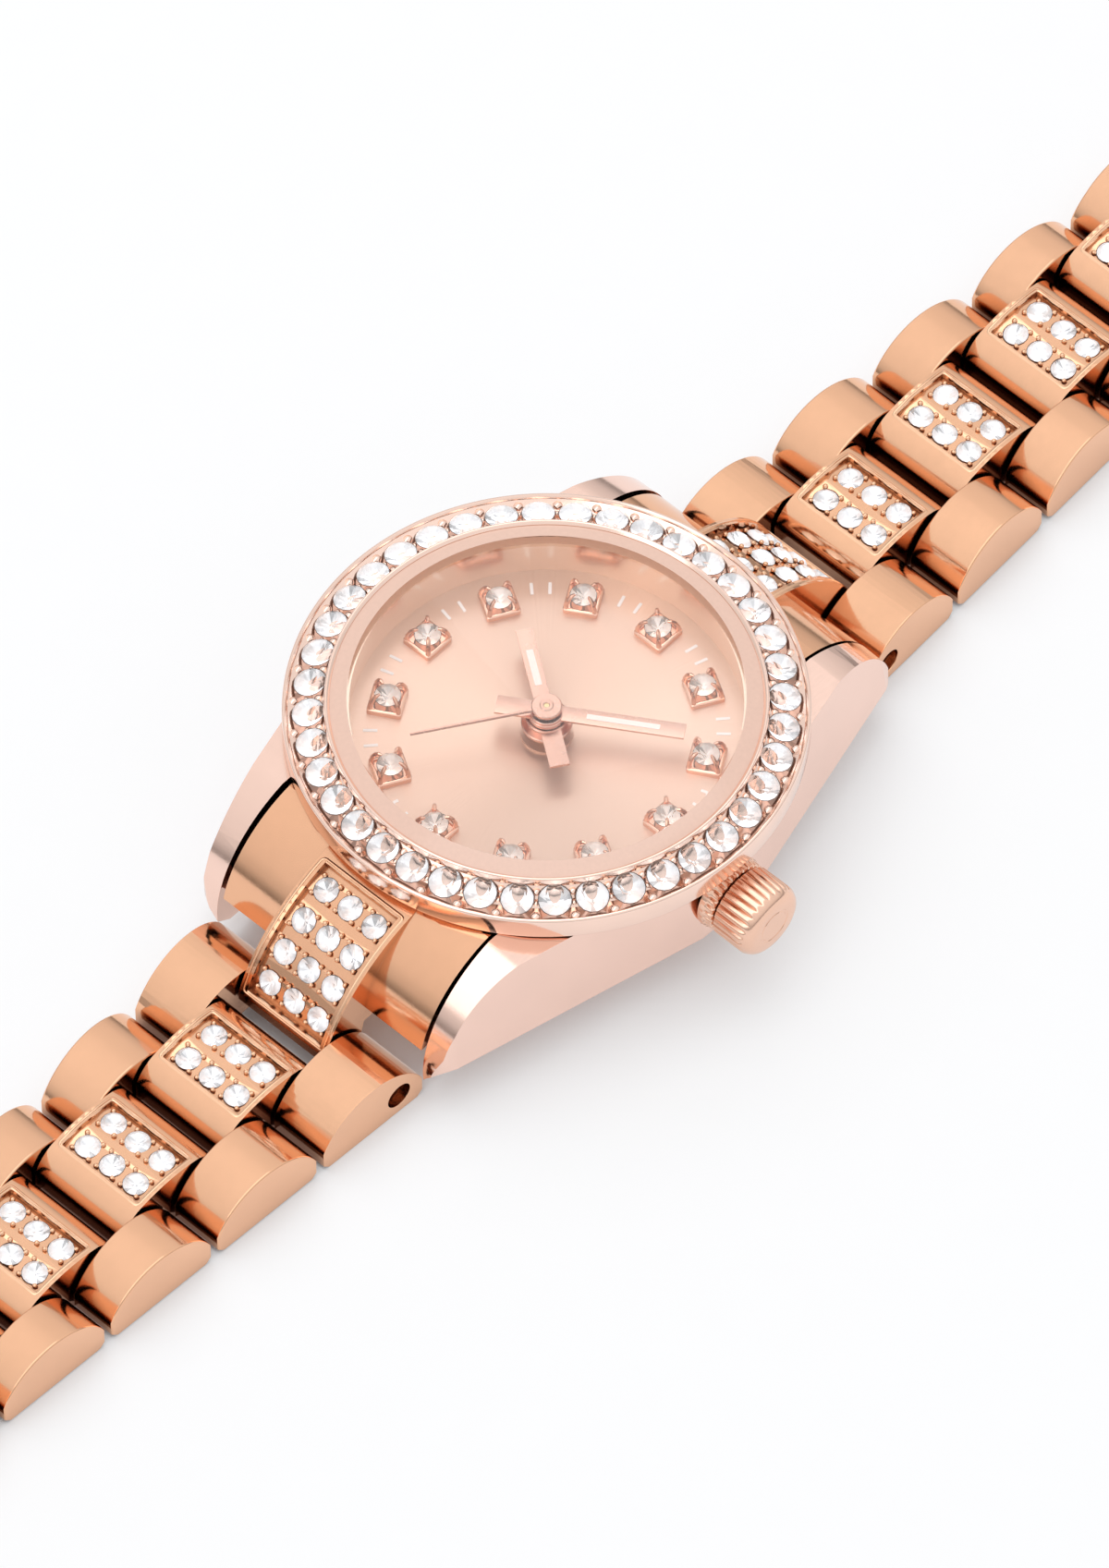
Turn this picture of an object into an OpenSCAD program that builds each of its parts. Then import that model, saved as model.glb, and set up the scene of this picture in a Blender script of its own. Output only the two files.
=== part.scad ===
// Ladies' quartz wristwatch with stone-set bezel and bracelet, laid out flat.
// Z is up, the back of the case rests on z = 0, the dial axis is the Z axis,
// 12 o'clock points along +Y and the crown along +X. Millimetres.

/* [Case] */
// Half width of the case at the crown, at its widest height
case_half_w = 13.9; // [13.7:0.1:14.6]
// Radius of the case flank seen from above
flank_r = 41; // [39:0.5:44]
// Turn of a flank's two flat faces from the crown towards the lugs
flank_turn = 14.3; // [13.9:0.1:14.7]
// Inward lean of the flank per millimetre of height
flank_lean = 0.11; // [0.06:0.01:0.14]
// Height of the case's widest line
waist_z = 3.5; // [3:0.1:3.9]
// Inward step of the case between its widest line and its underside
under_step = 1.6; // [1.2:0.1:1.7]
// Thickness of the case back plate
back_t = 1.0; // [0.8:0.05:1.2]
// Height of the case top, where the bezel sits
case_top_z = 9.5; // [9.4:0.05:9.8]
// Radius of the bore through the case
bore_r = 11.7; // [11.65:0.05:11.8]
// Radius of the round case wall between the lugs
body_r = 13.0; // [12.9:0.05:13.15]

/* [Lugs] */
// Free width between the lugs
lug_gap = 16; // [15.9:0.1:16.4]
// Distance of the centre of the lug's top curve from the dial axis
lug_arc_y = 11.6; // [11.4:0.1:11.6]
// Height of the centre of the lug's top curve
lug_arc_z = 2.4; // [2.3:0.1:2.6]
// Radius of the lug's top curve
lug_arc_r = 7.3; // [7.1:0.05:7.3]
// Radius of the round tip of a lug seen from above
lug_tip_r = 1.6; // [1.5:0.05:1.65]
// Distance of the spring bars from the dial axis
bar_y = 16.3; // [16:0.1:16.5]
// Height of the spring bars
bar_z = 4.2; // [3.9:0.1:4.5]
// Radius of a spring bar's sleeve
bar_r = 0.75; // [0.6:0.05:0.85]
// Radius of a spring bar's end pin
bar_tip_r = 0.45; // [0.35:0.05:0.55]
// Depth of the end pins in the lugs
bar_tip_len = 0.9; // [0.6:0.1:1.1]

/* [Bezel] */
// Outer radius of the bezel
bezel_r = 15; // [14.95:0.05:15.4]
// Height of the bezel's outer wall top
bezel_wall_z = 11.0; // [10.9:0.05:11.1]
// Height of the bezel's inner rim
bezel_top_z = 11.75; // [11.7:0.05:11.8]
// Radius of the bezel's inner edge
bezel_in_r = 12.3; // [12.25:0.05:12.4]
// Number of stones in the bezel
bezel_stone_n = 40; // [36:1:41]
// Radius of the circle of bezel stones
bezel_stone_ring = 13.6; // [13.55:0.05:13.7]
// Radius of a bezel stone
bezel_stone_r = 0.95; // [0.85:0.01:0.97]
// Height of the collar that the bezel grips
collar_h = 1.35; // [1.25:0.05:1.4]
// Outer radius of that collar
collar_r = 12.75; // [12.7:0.05:12.8]

/* [Crystal and dial] */
// Thickness of the crystal
crystal_t = 1.0; // [0.9:0.05:1.1]
// Radius of the flat top of the crystal
crystal_flat_r = 11.3; // [11.1:0.05:11.5]
// Drop of the crystal's bevelled edge
crystal_bevel = 0.3; // [0.2:0.05:0.4]
// Height of the dial's face
dial_z = 8.1; // [8:0.05:8.2]
// Thickness of the dial plate
dial_t = 0.4; // [0.3:0.05:0.5]
// Inner radius of the ring round the dial
rehaut_in_r = 11.15; // [11:0.05:11.2]
// Radius of the raised centre of the dial
dial_hub_r = 1.5; // [1.2:0.1:1.8]
// Height of that raised centre
dial_hub_h = 0.15; // [0.1:0.01:0.2]
// Radius of the circle of hour markers
marker_ring = 9.14; // [9.1:0.02:9.2]
// Width of a square hour setting
marker_w = 2.0; // [1.8:0.05:2.1]
// Height of an hour setting's base
marker_base = 0.45; // [0.3:0.05:0.55]
// Height of an hour marker's claws above the dial
marker_claw_h = 1.2; // [1.15:0.05:1.3]
// Width of a claw
claw_w = 0.34; // [0.3:0.01:0.36]
// Radius of an hour stone
marker_stone_r = 0.75; // [0.65:0.01:0.76]

/* [Hands] */
// Clock angle of the hour hand
hour_angle = 304.8; // [0:0.2:359.8]
// Clock angle of the minute hand
minute_angle = 57.5; // [0:0.5:359.5]
// Clock angle of the seconds hand
seconds_angle = 213.6; // [0:0.2:359.8]
// Length of the hour hand from the centre
hour_len = 6.1; // [5.5:0.1:6.5]
// Length of the minute hand from the centre
minute_len = 7.9; // [7.4:0.05:7.9]
// Length of the seconds hand from the centre
seconds_len = 7.9; // [7.4:0.05:7.9]
// Tail of the hour hand
hour_tail = 3.5; // [2.8:0.1:3.8]
// Tail of the minute hand
minute_tail = 2.9; // [2.4:0.1:3.4]
// Width of the hour hand
hour_w = 0.95; // [0.8:0.05:1.1]
// Width of the minute hand
minute_w = 1.0; // [0.8:0.05:1.1]
// Width of the seconds hand
seconds_w = 0.25; // [0.2:0.01:0.35]
// Height of the hour hand's underside
hour_z = 9.5; // [9.45:0.05:9.55]
// Height of the minute hand's underside
minute_z = 9.95; // [9.92:0.01:10]
// Height of the seconds hand's underside
seconds_z = 10.4; // [10.38:0.01:10.45]
// Thickness of the hour and minute hands
hand_t = 0.18; // [0.14:0.01:0.2]
// Width of the slot in the hour and minute hands
slot_w = 0.42; // [0.3:0.02:0.46]

/* [Movement] */
// Radius of the movement
move_r = 9; // [8.9:0.05:9.1]
// Height of the movement's lower edge
move_low_z = 4.0; // [3.8:0.1:4.2]
// Wall of the movement's main plate
move_wall = 0.6; // [0.5:0.05:0.7]
// Height of the main plate's underside
plate_low_z = 6.6; // [6.55:0.05:6.65]
// Depth of the recess for the motion work
recess_depth = 0.75; // [0.7:0.01:0.8]
// Height of the train bridge's underside
bridge_z = 4.4; // [4.3:0.05:4.45]
// Thickness of the train bridge
bridge_t = 0.4; // [0.3:0.05:0.4]
// Radius of the seconds arbor
arbor_r = 0.25; // [0.2:0.01:0.26]
// Outer radius of the minute hand's tube
cannon_r = 0.5; // [0.46:0.01:0.52]
// Outer radius of the hour hand's tube
hour_tube_r = 0.8; // [0.74:0.01:0.84]
// Tip radius of the wheels on the centre line
centre_wheel_r = 1.35; // [1.2:0.05:1.35]
// Tip radius of the motion wheel
motion_wheel_r = 1.5; // [1.4:0.05:1.55]
// Tip radius of the pinion on the minute tube
cannon_pinion_r = 0.72; // [0.68:0.01:0.74]
// Tip radius of the motion wheel's own pinion
motion_pinion_r = 0.45; // [0.4:0.01:0.48]
// Tip radius of the intermediate wheel
inter_wheel_r = 1.3; // [1.2:0.05:1.35]
// Tip radius of the small pinions
small_pinion_r = 0.35; // [0.3:0.01:0.38]
// Radius of the rotor's magnet
magnet_r = 0.8; // [0.6:0.05:0.85]
// Radius of the battery
battery_r = 3.4; // [3.1:0.05:3.4]
// Height of the battery
battery_h = 2.1; // [1.6:0.1:2.1]
// Radius of the coil's winding
coil_r = 0.85; // [0.7:0.05:0.9]
// Length of the coil's winding
coil_len = 8; // [7:0.1:8.4]

/* [Crown] */
// Height of the crown's axis
crown_z = 6.2; // [6.1:0.05:6.2]
// Radius of the crown over its flutes
crown_r = 2.3; // [2.1:0.05:2.5]
// Distance of the crown's inner end from the dial axis
crown_in_x = 13.75; // [13.75:0.05:14]
// Length of the crown's inner fluted ring
crown_ring_len = 0.95; // [0.8:0.05:1.1]
// Width of the groove between that ring and the knob
crown_groove = 0.25; // [0.2:0.05:0.4]
// Length of the crown's knob
crown_knob_len = 2.55; // [2.2:0.05:2.8]
// Number of flutes on the crown
flute_n = 28; // [24:1:30]
// Radius of a flute
flute_r = 0.2; // [0.16:0.01:0.22]
// Outer radius of the crown tube
tube_r = 1.0; // [0.9:0.05:1.1]
// Radius of the stem
stem_r = 0.5; // [0.4:0.01:0.5]
// Travel of the crown when it is pulled out
crown_pull = 1.0; // [0.8:0.1:1.1]

/* [Bracelet] */
// Distance between one centre link and the next
pitch = 8.15; // [8.1:0.05:8.3]
// Number of link rows on each side
rows = 6; // [6:1:6]
// Distance of the first centre link from the dial axis
first_link_y = 26.6; // [26.6:0.05:26.8]
// Gap between two links of one lane
link_gap = 0.5; // [0.45:0.05:0.6]
// Height of a link
link_h = 4.0; // [3.9:0.05:4.1]
// Radius of a link's round top
link_r = 4.2; // [4.15:0.05:4.3]
// Half width of a centre link
centre_half_w = 3.35; // [3.25:0.05:3.4]
// Side clearance between centre and outer links
lane_gap = 0.15; // [0.1:0.01:0.2]
// Half width of the bracelet at the case
wide_half_w = 7.55; // [7.3:0.05:7.7]
// Half width of the bracelet at the clasp
narrow_half_w = 6.0; // [5.8:0.05:6.2]
// Length over which the bracelet tapers
taper_len = 30; // [26:1:32]
// Bevel on a link's lower edges
link_bevel = 0.4; // [0.4:0.05:0.5]
// Height of the link pins
pin_z = 1.5; // [1.5:0.05:1.6]
// Radius of the link pins
pin_r = 0.5; // [0.45:0.01:0.6]
// Depth of the link pins' ends below the outer faces
pin_inset = 0.7; // [0.5:0.05:0.8]
// Radius of the open pin holes on the first row
open_hole_r = 0.85; // [0.75:0.05:0.9]
// Number of rows set with stones on each side
stone_rows = 6; // [1:1:6]

/* [Stone trays] */
// Half length of the flatter top of a centre link, which frames its stones
tray_half_len = 2.45; // [2.4:0.01:2.48]
// Width of the frame round the stones
tray_rim = 0.26; // [0.22:0.02:0.3]
// Radius of the curve of a centre link's top
tray_arc_r = 9; // [8.8:0.1:9.4]
// Depth of a link's stone bed
tray_depth = 0.45; // [0.42:0.01:0.48]
// Radius of a centre link's shoulders
shoulder_r = 2.4; // [2.35:0.05:2.45]
// Radius of a bracelet stone
link_stone_r = 0.74; // [0.65:0.01:0.76]
// Distance between stones across the bracelet
stone_step_x = 1.86; // [1.84:0.01:1.88]
// Distance between the two stone rows of a link
stone_step_y = 2.1; // [2:0.05:2.2]
// Height of the stones' tops on a link
link_stone_z = 3.8; // [3.78:0.01:3.83]

/* [End links] */
// Side clearance between end link and lugs
end_gap = 0.3; // [0.25:0.01:0.32]
// Distance of the centre of the wings' curve from the dial axis
wing_arc_y = 11.9; // [11.8:0.05:11.95]
// Height of the centre of the wings' curve
wing_arc_z = 2.5; // [2.45:0.05:2.55]
// Radius of the wings' curve
wing_arc_r = 6.95; // [6.85:0.05:7.0]
// Distance of the centre of the tongue's curve from the dial axis
tongue_arc_y = 12.5; // [12.45:0.05:12.55]
// Height of the centre of the tongue's curve
tongue_arc_z = -1.0; // [-1.1:0.05:-0.95]
// Radius of the tongue's rim
tongue_arc_r = 10.2; // [10.15:0.01:10.25]
// Depth of the tongue's stone tray
tongue_tray = 0.45; // [0.4:0.01:0.5]
// Height of the end link's underside
end_low_z = 2.9; // [2.7:0.05:3.0]
// Height of the lower edge of a wing's end
wing_tip_z = 4.1; // [3.9:0.05:4.2]
// Gap between the tongue's end and the first centre link
tongue_gap = 0.75; // [0.65:0.05:0.8]
// Height of the lower edge of the tongue's end
tongue_tip_z = 1.95; // [1.85:0.05:2.05]

/* [Clasp] */
// Length of the clasp's base plate
clasp_len = 26; // [24:0.5:27]
// Thickness of the clasp's base plate
clasp_plate_t = 0.8; // [0.7:0.05:0.9]
// Height of the clasp's cover
cover_h = 4.2; // [4:0.05:4.4]
// Wall of the clasp's cover
cover_wall = 0.7; // [0.6:0.05:0.8]
// Radius of the cover's crowned top
cover_crown_r = 20; // [18:1:30]
// Height of the hollow in the cover
cover_hollow_z = 2.6; // [2.4:0.05:2.7]
// Radius of the cover's hinge pin
cover_pin_r = 0.5; // [0.45:0.05:0.55]
// Length of the catch tongue
catch_len = 8; // [7:0.1:9]
// Thickness of the catch tongue
catch_t = 0.9; // [0.8:0.05:1]

/* [Fits] */
// Radial clearance of turning fits
run_fit = 0.04; // [0.02:0.01:0.06]
// Clearance between a stone and its seat
seat_fit = 0.02; // [0.01:0.01:0.03]
// Clearance of the case round the crown's inner end
crown_clear = 0.08; // [0.05:0.01:0.1]
// Clearance between wheel tips
mesh_gap = 0.04; // [0.03:0.01:0.06]

/* [Hidden] */
$fn = 96;
eps = 0.01;
far = 60;

// Heights of the stack, from the back up
move_top_z = dial_z - dial_t;
collar_top_z = case_top_z + collar_h;
crystal_r = bezel_in_r;
rehaut_r = bore_r - 0.05;
ring_r = bore_r - 0.05;
spigot_r = bore_r - 0.35;
spigot_h = 1.5;
spigot_wall = 0.8;
gasket_low = 0.3;
gasket_h = 0.8;
back_r = case_half_w - under_step - 0.2;

// Places in the movement
inter_angle = 200;
inter_d = centre_wheel_r + small_pinion_r + mesh_gap;
inter_pos = [inter_d * cos(inter_angle), inter_d * sin(inter_angle)];
rotor_d = inter_d + inter_wheel_r + small_pinion_r + mesh_gap;
rotor_pos = [rotor_d * cos(inter_angle), rotor_d * sin(inter_angle)];
motion_angle = 135;
motion_d = cannon_pinion_r + motion_wheel_r + mesh_gap;
motion_pos = [motion_d * cos(motion_angle), motion_d * sin(motion_angle)];
hour_wheel_r = motion_d - motion_pinion_r - mesh_gap;
battery_angle = 60;
battery_d = move_r - move_wall - battery_r - 0.1;
battery_pos = [battery_d * cos(battery_angle), battery_d * sin(battery_angle)];
coil_y = -6;
pivot_r = 0.15;
recess_z = move_top_z - recess_depth;
bridge_top_z = bridge_z + bridge_t;
second_wheel_z = plate_low_z - 0.9;
centre_wheel_z = plate_low_z - 0.35;
wheel_t = 0.2;
motion_pinion_z = recess_z + 0.3;
lever_x = 5.2;
lever_t = 0.36;

// Bracelet
body_len = pitch - link_gap;
link_half = body_len / 2;
link_centre_z = link_h - link_r;
tray_centre_z = link_h - tray_arc_r;
tray_edge_z = tray_centre_z + sqrt(pow(tray_arc_r, 2) - pow(tray_half_len, 2));
shoulder_y = tray_half_len - shoulder_r * sin(22);
shoulder_z = tray_edge_z - shoulder_r * cos(22);
lug_end_y = lug_arc_y + lug_arc_r;
lug_tip_y = lug_end_y - lug_tip_r + 0.03;
lug_tip_x = (case_half_w - lug_tip_r + 0.015 - lug_tip_y * sin(flank_turn)) / cos(flank_turn);
outer_in = centre_half_w + lane_gap;
pin_off = pitch / 4;
end_half_w = lug_gap / 2 - end_gap;
last_pin_y = first_link_y + (rows - 1) * pitch + pin_off;
clasp_start_y = first_link_y + (rows - 1) * pitch + link_gap / 2;
clasp_join_y = clasp_start_y + link_half + 0.2;
clasp_end_y = clasp_start_y + link_half + clasp_len;
cover_pin_z = 1.7;
tongue_end_y = first_link_y - link_half - tongue_gap;
tongue_stone_r = tongue_arc_r - 0.1;
tongue_stone_angles = [67.5, 55, 42.5, 30];
tongue_tray_from = 74.5;
tongue_tray_to = 23;

rose = [0.90, 0.68, 0.56];
rose_dark = [0.80, 0.56, 0.44];
steel = [0.72, 0.72, 0.74];
brass_tone = [0.82, 0.68, 0.38];
stone_tone = [0.95, 0.96, 0.98];

function row_y(k) = first_link_y + (k - 1) * pitch;
function outer_y(k) = row_y(k) - pitch / 2;
function half_w(y) = max(narrow_half_w, wide_half_w
    - (wide_half_w - narrow_half_w) * (y - outer_y(1)) / taper_len);
function clock(a) = 90 - a;

// Extrudes a side profile, drawn as distance from the dial against height,
// across the watch from -half to +half, on the +Y side.
module across(half) {
    rotate([90, 0, 90])
        translate([0, 0, -half])
            linear_extrude(2 * half)
                children();
}

// Turns what is drawn on the 12 o'clock side to the 6 o'clock side.
module to_side(side) {
    if (side == 12) children();
    if (side == 6) mirror([0, 1, 0]) children();
}

// Ring between two radii, standing on z.
module ring(r_out, r_in, z, h) {
    translate([0, 0, z])
        difference() {
            cylinder(r = r_out, h = h);
            translate([0, 0, -1]) cylinder(r = r_in, h = h + 2);
        }
}

// Pin along X, centred on x = 0.
module cross_pin(r, half, y, z) {
    translate([-half, y, z])
        rotate([0, 90, 0])
            cylinder(r = r, h = 2 * half, $fn = 48);
}

// Brilliant stone with its table at z = 0.
module stone(r) {
    table_r = 0.58 * r;
    crown_d = 0.3 * r;
    girdle_d = 0.1 * r;
    pavilion_d = 0.62 * r;
    culet_r = 0.12 * r;
    rotate_extrude($fn = 24)
        polygon([
            [0, 0],
            [table_r, 0],
            [r, -crown_d],
            [r, -crown_d - girdle_d],
            [culet_r, -crown_d - girdle_d - pavilion_d],
            [0, -crown_d - girdle_d - pavilion_d]
        ]);
}

// Seat cut for a stone of radius r with its table at z = 0.
module stone_seat(r) {
    seat_low = 1.06 * r;
    translate([0, 0, -seat_low])
        cylinder(r = r + seat_fit, h = seat_low + 1, $fn = 32);
}

// Wheel with pointed teeth, standing on z = 0.
module toothed(tip_r, n, h) {
    tooth = min(0.14, tip_r * 0.18);
    linear_extrude(h)
        polygon([for (i = [0 : 2 * n - 1])
            let (r = i % 2 == 0 ? tip_r : tip_r - tooth)
            [r * cos(180 * i / n), r * sin(180 * i / n)]]);
}

// One flank of the case: a large round body whose edge leans inward.
module flank_body() {
    translate([case_half_w - flank_r, 0, 0])
        rotate_extrude($fn = 240)
            polygon([
                [0, back_t],
                [flank_r - under_step, back_t],
                [flank_r, waist_z],
                [flank_r - flank_lean * (case_top_z - waist_z), case_top_z],
                [0, case_top_z]
            ]);
}

// Flat part of a flank, with the same lean, for one pair of lugs.
module flank_face(turn) {
    rotate([0, 0, turn])
        rotate([90, 0, 0])
            linear_extrude(2 * far, center = true)
                polygon([
                    [-far, back_t],
                    [case_half_w - under_step, back_t],
                    [case_half_w, waist_z],
                    [case_half_w - flank_lean * (case_top_z - waist_z), case_top_z],
                    [-far, case_top_z]
                ]);
}

// What the round tip of a lug leaves of its outer corner.
module lug_tip_corner() {
    translate([lug_tip_x, lug_tip_y, -1])
        linear_extrude(far)
            difference() {
                polygon([[0, 0], [5 * cos(flank_turn), 5 * sin(flank_turn)], [5, 5], [0, 5]]);
                circle(r = lug_tip_r, $fn = 96);
            }
}

// Side profile of the case middle with its two pairs of lugs.
module case_profile() {
    reach = lug_arc_y;
    intersection() {
        translate([-reach - lug_arc_r, back_t])
            square([2 * (reach + lug_arc_r), case_top_z - back_t]);
        union() {
            translate([-reach, 0]) square([2 * reach, far]);
            for (side = [-1, 1])
                translate([side * reach, lug_arc_z])
                    union() {
                        circle(r = lug_arc_r, $fn = 180);
                        translate([-lug_arc_r + 0.35, -lug_arc_z])
                            square([2 * lug_arc_r - 0.7, lug_arc_z]);
                    }
        }
    }
}

module case_middle() {
    color(rose)
    difference() {
        union() {
            difference() {
                intersection() {
                    flank_body();
                    mirror([1, 0, 0]) flank_body();
                    flank_face(flank_turn);
                    flank_face(-flank_turn);
                    mirror([1, 0, 0]) flank_face(flank_turn);
                    mirror([1, 0, 0]) flank_face(-flank_turn);
                    across(far) case_profile();
                }
                for (side = [-1, 1])
                    translate([-lug_gap / 2, side > 0 ? 0 : -far, -1])
                        cube([lug_gap, far, far]);
                for (left = [0, 1], low = [0, 1])
                    mirror([left, 0, 0]) mirror([0, low, 0]) lug_tip_corner();
            }
            translate([0, 0, back_t])
                intersection() {
                    cylinder(r = body_r, h = case_top_z - back_t);
                    rotate_extrude()
                        polygon([
                            [0, 0],
                            [back_r + 0.25, 0],
                            [body_r, 1],
                            [body_r, case_top_z],
                            [0, case_top_z]
                        ]);
                }
            ring(collar_r, bore_r, case_top_z - eps, collar_h + eps);
        }
        translate([0, 0, -1]) cylinder(r = bore_r, h = far);
        translate([bore_r - 2, 0, crown_z])
            rotate([0, 90, 0])
                cylinder(r = tube_r, h = 6, $fn = 48);
        translate([crown_in_x - crown_clear, 0, crown_z])
            rotate([0, 90, 0])
                cylinder(r = crown_r + crown_clear, h = 5, $fn = 96);
        for (side = [-1, 1])
            cross_pin(bar_tip_r + run_fit, lug_gap / 2 + bar_tip_len + 0.1, side * bar_y, bar_z);
    }
}

module case_back() {
    edge = 0.4;
    color(rose_dark)
    union() {
        rotate_extrude()
            polygon([
                [0, 0],
                [back_r - edge, 0],
                [back_r, edge],
                [back_r, back_t],
                [0, back_t]
            ]);
        ring(spigot_r, spigot_r - spigot_wall, back_t - eps, spigot_h + eps);
    }
}

module back_gasket() {
    color("dimgray")
    ring(bore_r, spigot_r, back_t + gasket_low, gasket_h);
}

// Slope of the stone channel, from its outer to its inner edge.
channel_out_r = bezel_stone_ring + bezel_stone_r + 0.12;
channel_in_r = bezel_stone_ring - bezel_stone_r - 0.05;
channel_tilt = atan((bezel_top_z - bezel_wall_z) / (channel_out_r - channel_in_r)) * 0.8;
channel_depth = 0.25;

module bezel_seat_place(i) {
    rotate([0, 0, 90 + i * 360 / bezel_stone_n])
        translate([bezel_stone_ring, 0, bezel_wall_z + 0.44])
            rotate([0, channel_tilt, 0])
                children();
}

module bezel() {
    color(rose)
    difference() {
        rotate_extrude($fn = 180)
            polygon([
                [collar_r, case_top_z],
                [bezel_r - 0.12, case_top_z],
                [bezel_r, case_top_z + 0.12],
                [bezel_r, bezel_wall_z - 0.15],
                [bezel_r - 0.18, bezel_wall_z + 0.05],
                [channel_out_r, bezel_wall_z],
                [channel_out_r, bezel_wall_z - 0.12],
                [channel_in_r, bezel_top_z - channel_depth - 0.12],
                [channel_in_r, bezel_top_z - 0.04],
                [bezel_in_r + 0.1, bezel_top_z],
                [bezel_in_r, bezel_top_z - 0.08],
                [bezel_in_r, collar_top_z],
                [collar_r, collar_top_z]
            ]);
        for (i = [0 : bezel_stone_n - 1])
            bezel_seat_place(i) stone_seat(bezel_stone_r);
    }
}

module bezel_stones() {
    color(stone_tone)
    for (i = [0 : bezel_stone_n - 1])
        bezel_seat_place(i) stone(bezel_stone_r);
}

module crystal() {
    color([0.85, 0.9, 0.95, 0.3])
    rotate_extrude($fn = 180)
        polygon([
            [0, collar_top_z],
            [crystal_r, collar_top_z],
            [crystal_r, collar_top_z + crystal_t - crystal_bevel],
            [crystal_flat_r, collar_top_z + crystal_t],
            [0, collar_top_z + crystal_t]
        ]);
}

module rehaut_ring() {
    color(rose)
    ring(rehaut_r, rehaut_in_r, dial_z, collar_top_z - dial_z);
}

module dial() {
    foot_r = 0.35;
    foot_len = 0.9;
    color([0.95, 0.74, 0.62])
    difference() {
        union() {
            translate([0, 0, dial_z - dial_t]) cylinder(r = rehaut_r, h = dial_t);
            translate([0, 0, dial_z - eps]) cylinder(r = dial_hub_r, h = dial_hub_h + eps);
            for (a = [75, 255])
                rotate([0, 0, a])
                    translate([move_r - 1.2, 0, dial_z - dial_t - foot_len])
                        cylinder(r = foot_r, h = foot_len + eps, $fn = 32);
        }
        translate([0, 0, dial_z - 1]) cylinder(r = hour_tube_r + 0.08, h = 2);
    }
}

module marker_place(i) {
    rotate([0, 0, clock(i * 30)])
        translate([marker_ring, 0, dial_z])
            children();
}

module hour_settings() {
    color(rose_dark)
    for (i = [0 : 11])
        marker_place(i)
            difference() {
                union() {
                    translate([-marker_w / 2, -marker_w / 2, 0])
                        cube([marker_w, marker_w, marker_base]);
                    for (sx = [-1, 1], sy = [-1, 1])
                        translate([sx * (marker_w - claw_w) / 2, sy * (marker_w - claw_w) / 2, marker_claw_h / 2])
                            cube([claw_w, claw_w, marker_claw_h], center = true);
                }
                translate([0, 0, marker_claw_h - 0.08]) stone_seat(marker_stone_r);
            }
}

module hour_stones() {
    color(stone_tone)
    for (i = [0 : 11])
        marker_place(i)
            translate([0, 0, marker_claw_h - 0.08])
                stone(marker_stone_r);
}

module movement_ring() {
    color("whitesmoke")
    difference() {
        ring(ring_r, move_r, back_t + spigot_h, move_top_z - back_t - spigot_h);
        translate([move_r - 1, 0, crown_z])
            rotate([0, 90, 0])
                cylinder(r = tube_r + 0.1, h = 6, $fn = 48);
    }
}

// Blind pivot hole in the underside of the main plate or the top of the bridge.
module pivot_holes(z, deep) {
    for (p = [inter_pos, rotor_pos])
        translate([p.x, p.y, z])
            cylinder(r = pivot_r + run_fit, h = deep, $fn = 32);
}

module mainplate() {
    color(brass_tone)
    difference() {
        union() {
            difference() {
                translate([0, 0, move_low_z]) cylinder(r = move_r, h = move_top_z - move_low_z);
                translate([0, 0, move_low_z - 1])
                    cylinder(r = move_r - move_wall, h = plate_low_z - move_low_z + 1);
                translate([0, 0, recess_z]) cylinder(r = hour_wheel_r + 0.1, h = 2);
                translate([motion_pos.x, motion_pos.y, recess_z])
                    cylinder(r = motion_wheel_r + 0.1, h = 2);
            }
            translate([motion_pos.x, motion_pos.y, recess_z - eps])
                cylinder(r = pivot_r, h = recess_depth - 0.1, $fn = 32);
        }
        translate([0, 0, plate_low_z - 1]) cylinder(r = cannon_r + run_fit, h = 3);
        pivot_holes(plate_low_z - 1, 1.2);
        translate([lever_x - 1, 0, crown_z])
            rotate([0, 90, 0])
                cylinder(r = stem_r + run_fit, h = 6, $fn = 48);
        for (a = [75, 255])
            rotate([0, 0, a])
                translate([move_r - 1.2, 0, move_top_z - 0.95])
                    cylinder(r = 0.35 + seat_fit, h = 2, $fn = 32);
    }
}

module train_bridge() {
    post_r = 0.5;
    posts = [[-0.9, -2.8], [-3.3, 1.9]];
    color(steel)
    difference() {
        union() {
            translate([0, 0, bridge_z])
                linear_extrude(bridge_t)
                    union() {
                        circle(r = 1.3);
                        translate(rotor_pos) circle(r = 1);
                        translate(inter_pos) circle(r = 1.4);
                        for (p = posts) {
                            translate(p) circle(r = 0.8);
                            rotate([0, 0, atan2(p.y, p.x)])
                                translate([0, -0.6])
                                    square([norm(p), 1.2]);
                        }
                    }
            for (p = posts)
                translate([p.x, p.y, bridge_z])
                    cylinder(r = post_r, h = plate_low_z - bridge_z, $fn = 32);
        }
        pivot_holes(bridge_top_z - 0.2, 1);
        translate([0, 0, bridge_top_z - 0.2])
            cylinder(r = pivot_r + run_fit, h = 1, $fn = 32);
    }
}

module coil() {
    end_w = 1.6;
    core_z = plate_low_z - 1.1;
    color([0.75, 0.42, 0.25])
    union() {
        translate([-coil_len / 2, coil_y, core_z])
            rotate([0, 90, 0])
                cylinder(r = coil_r, h = coil_len, $fn = 48);
        for (side = [-1, 1])
            translate([side * (coil_len / 2 + 0.4) - 0.4, coil_y - end_w / 2, core_z - 0.4])
                cube([0.8, end_w, plate_low_z - core_z + 0.4]);
    }
}

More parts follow.
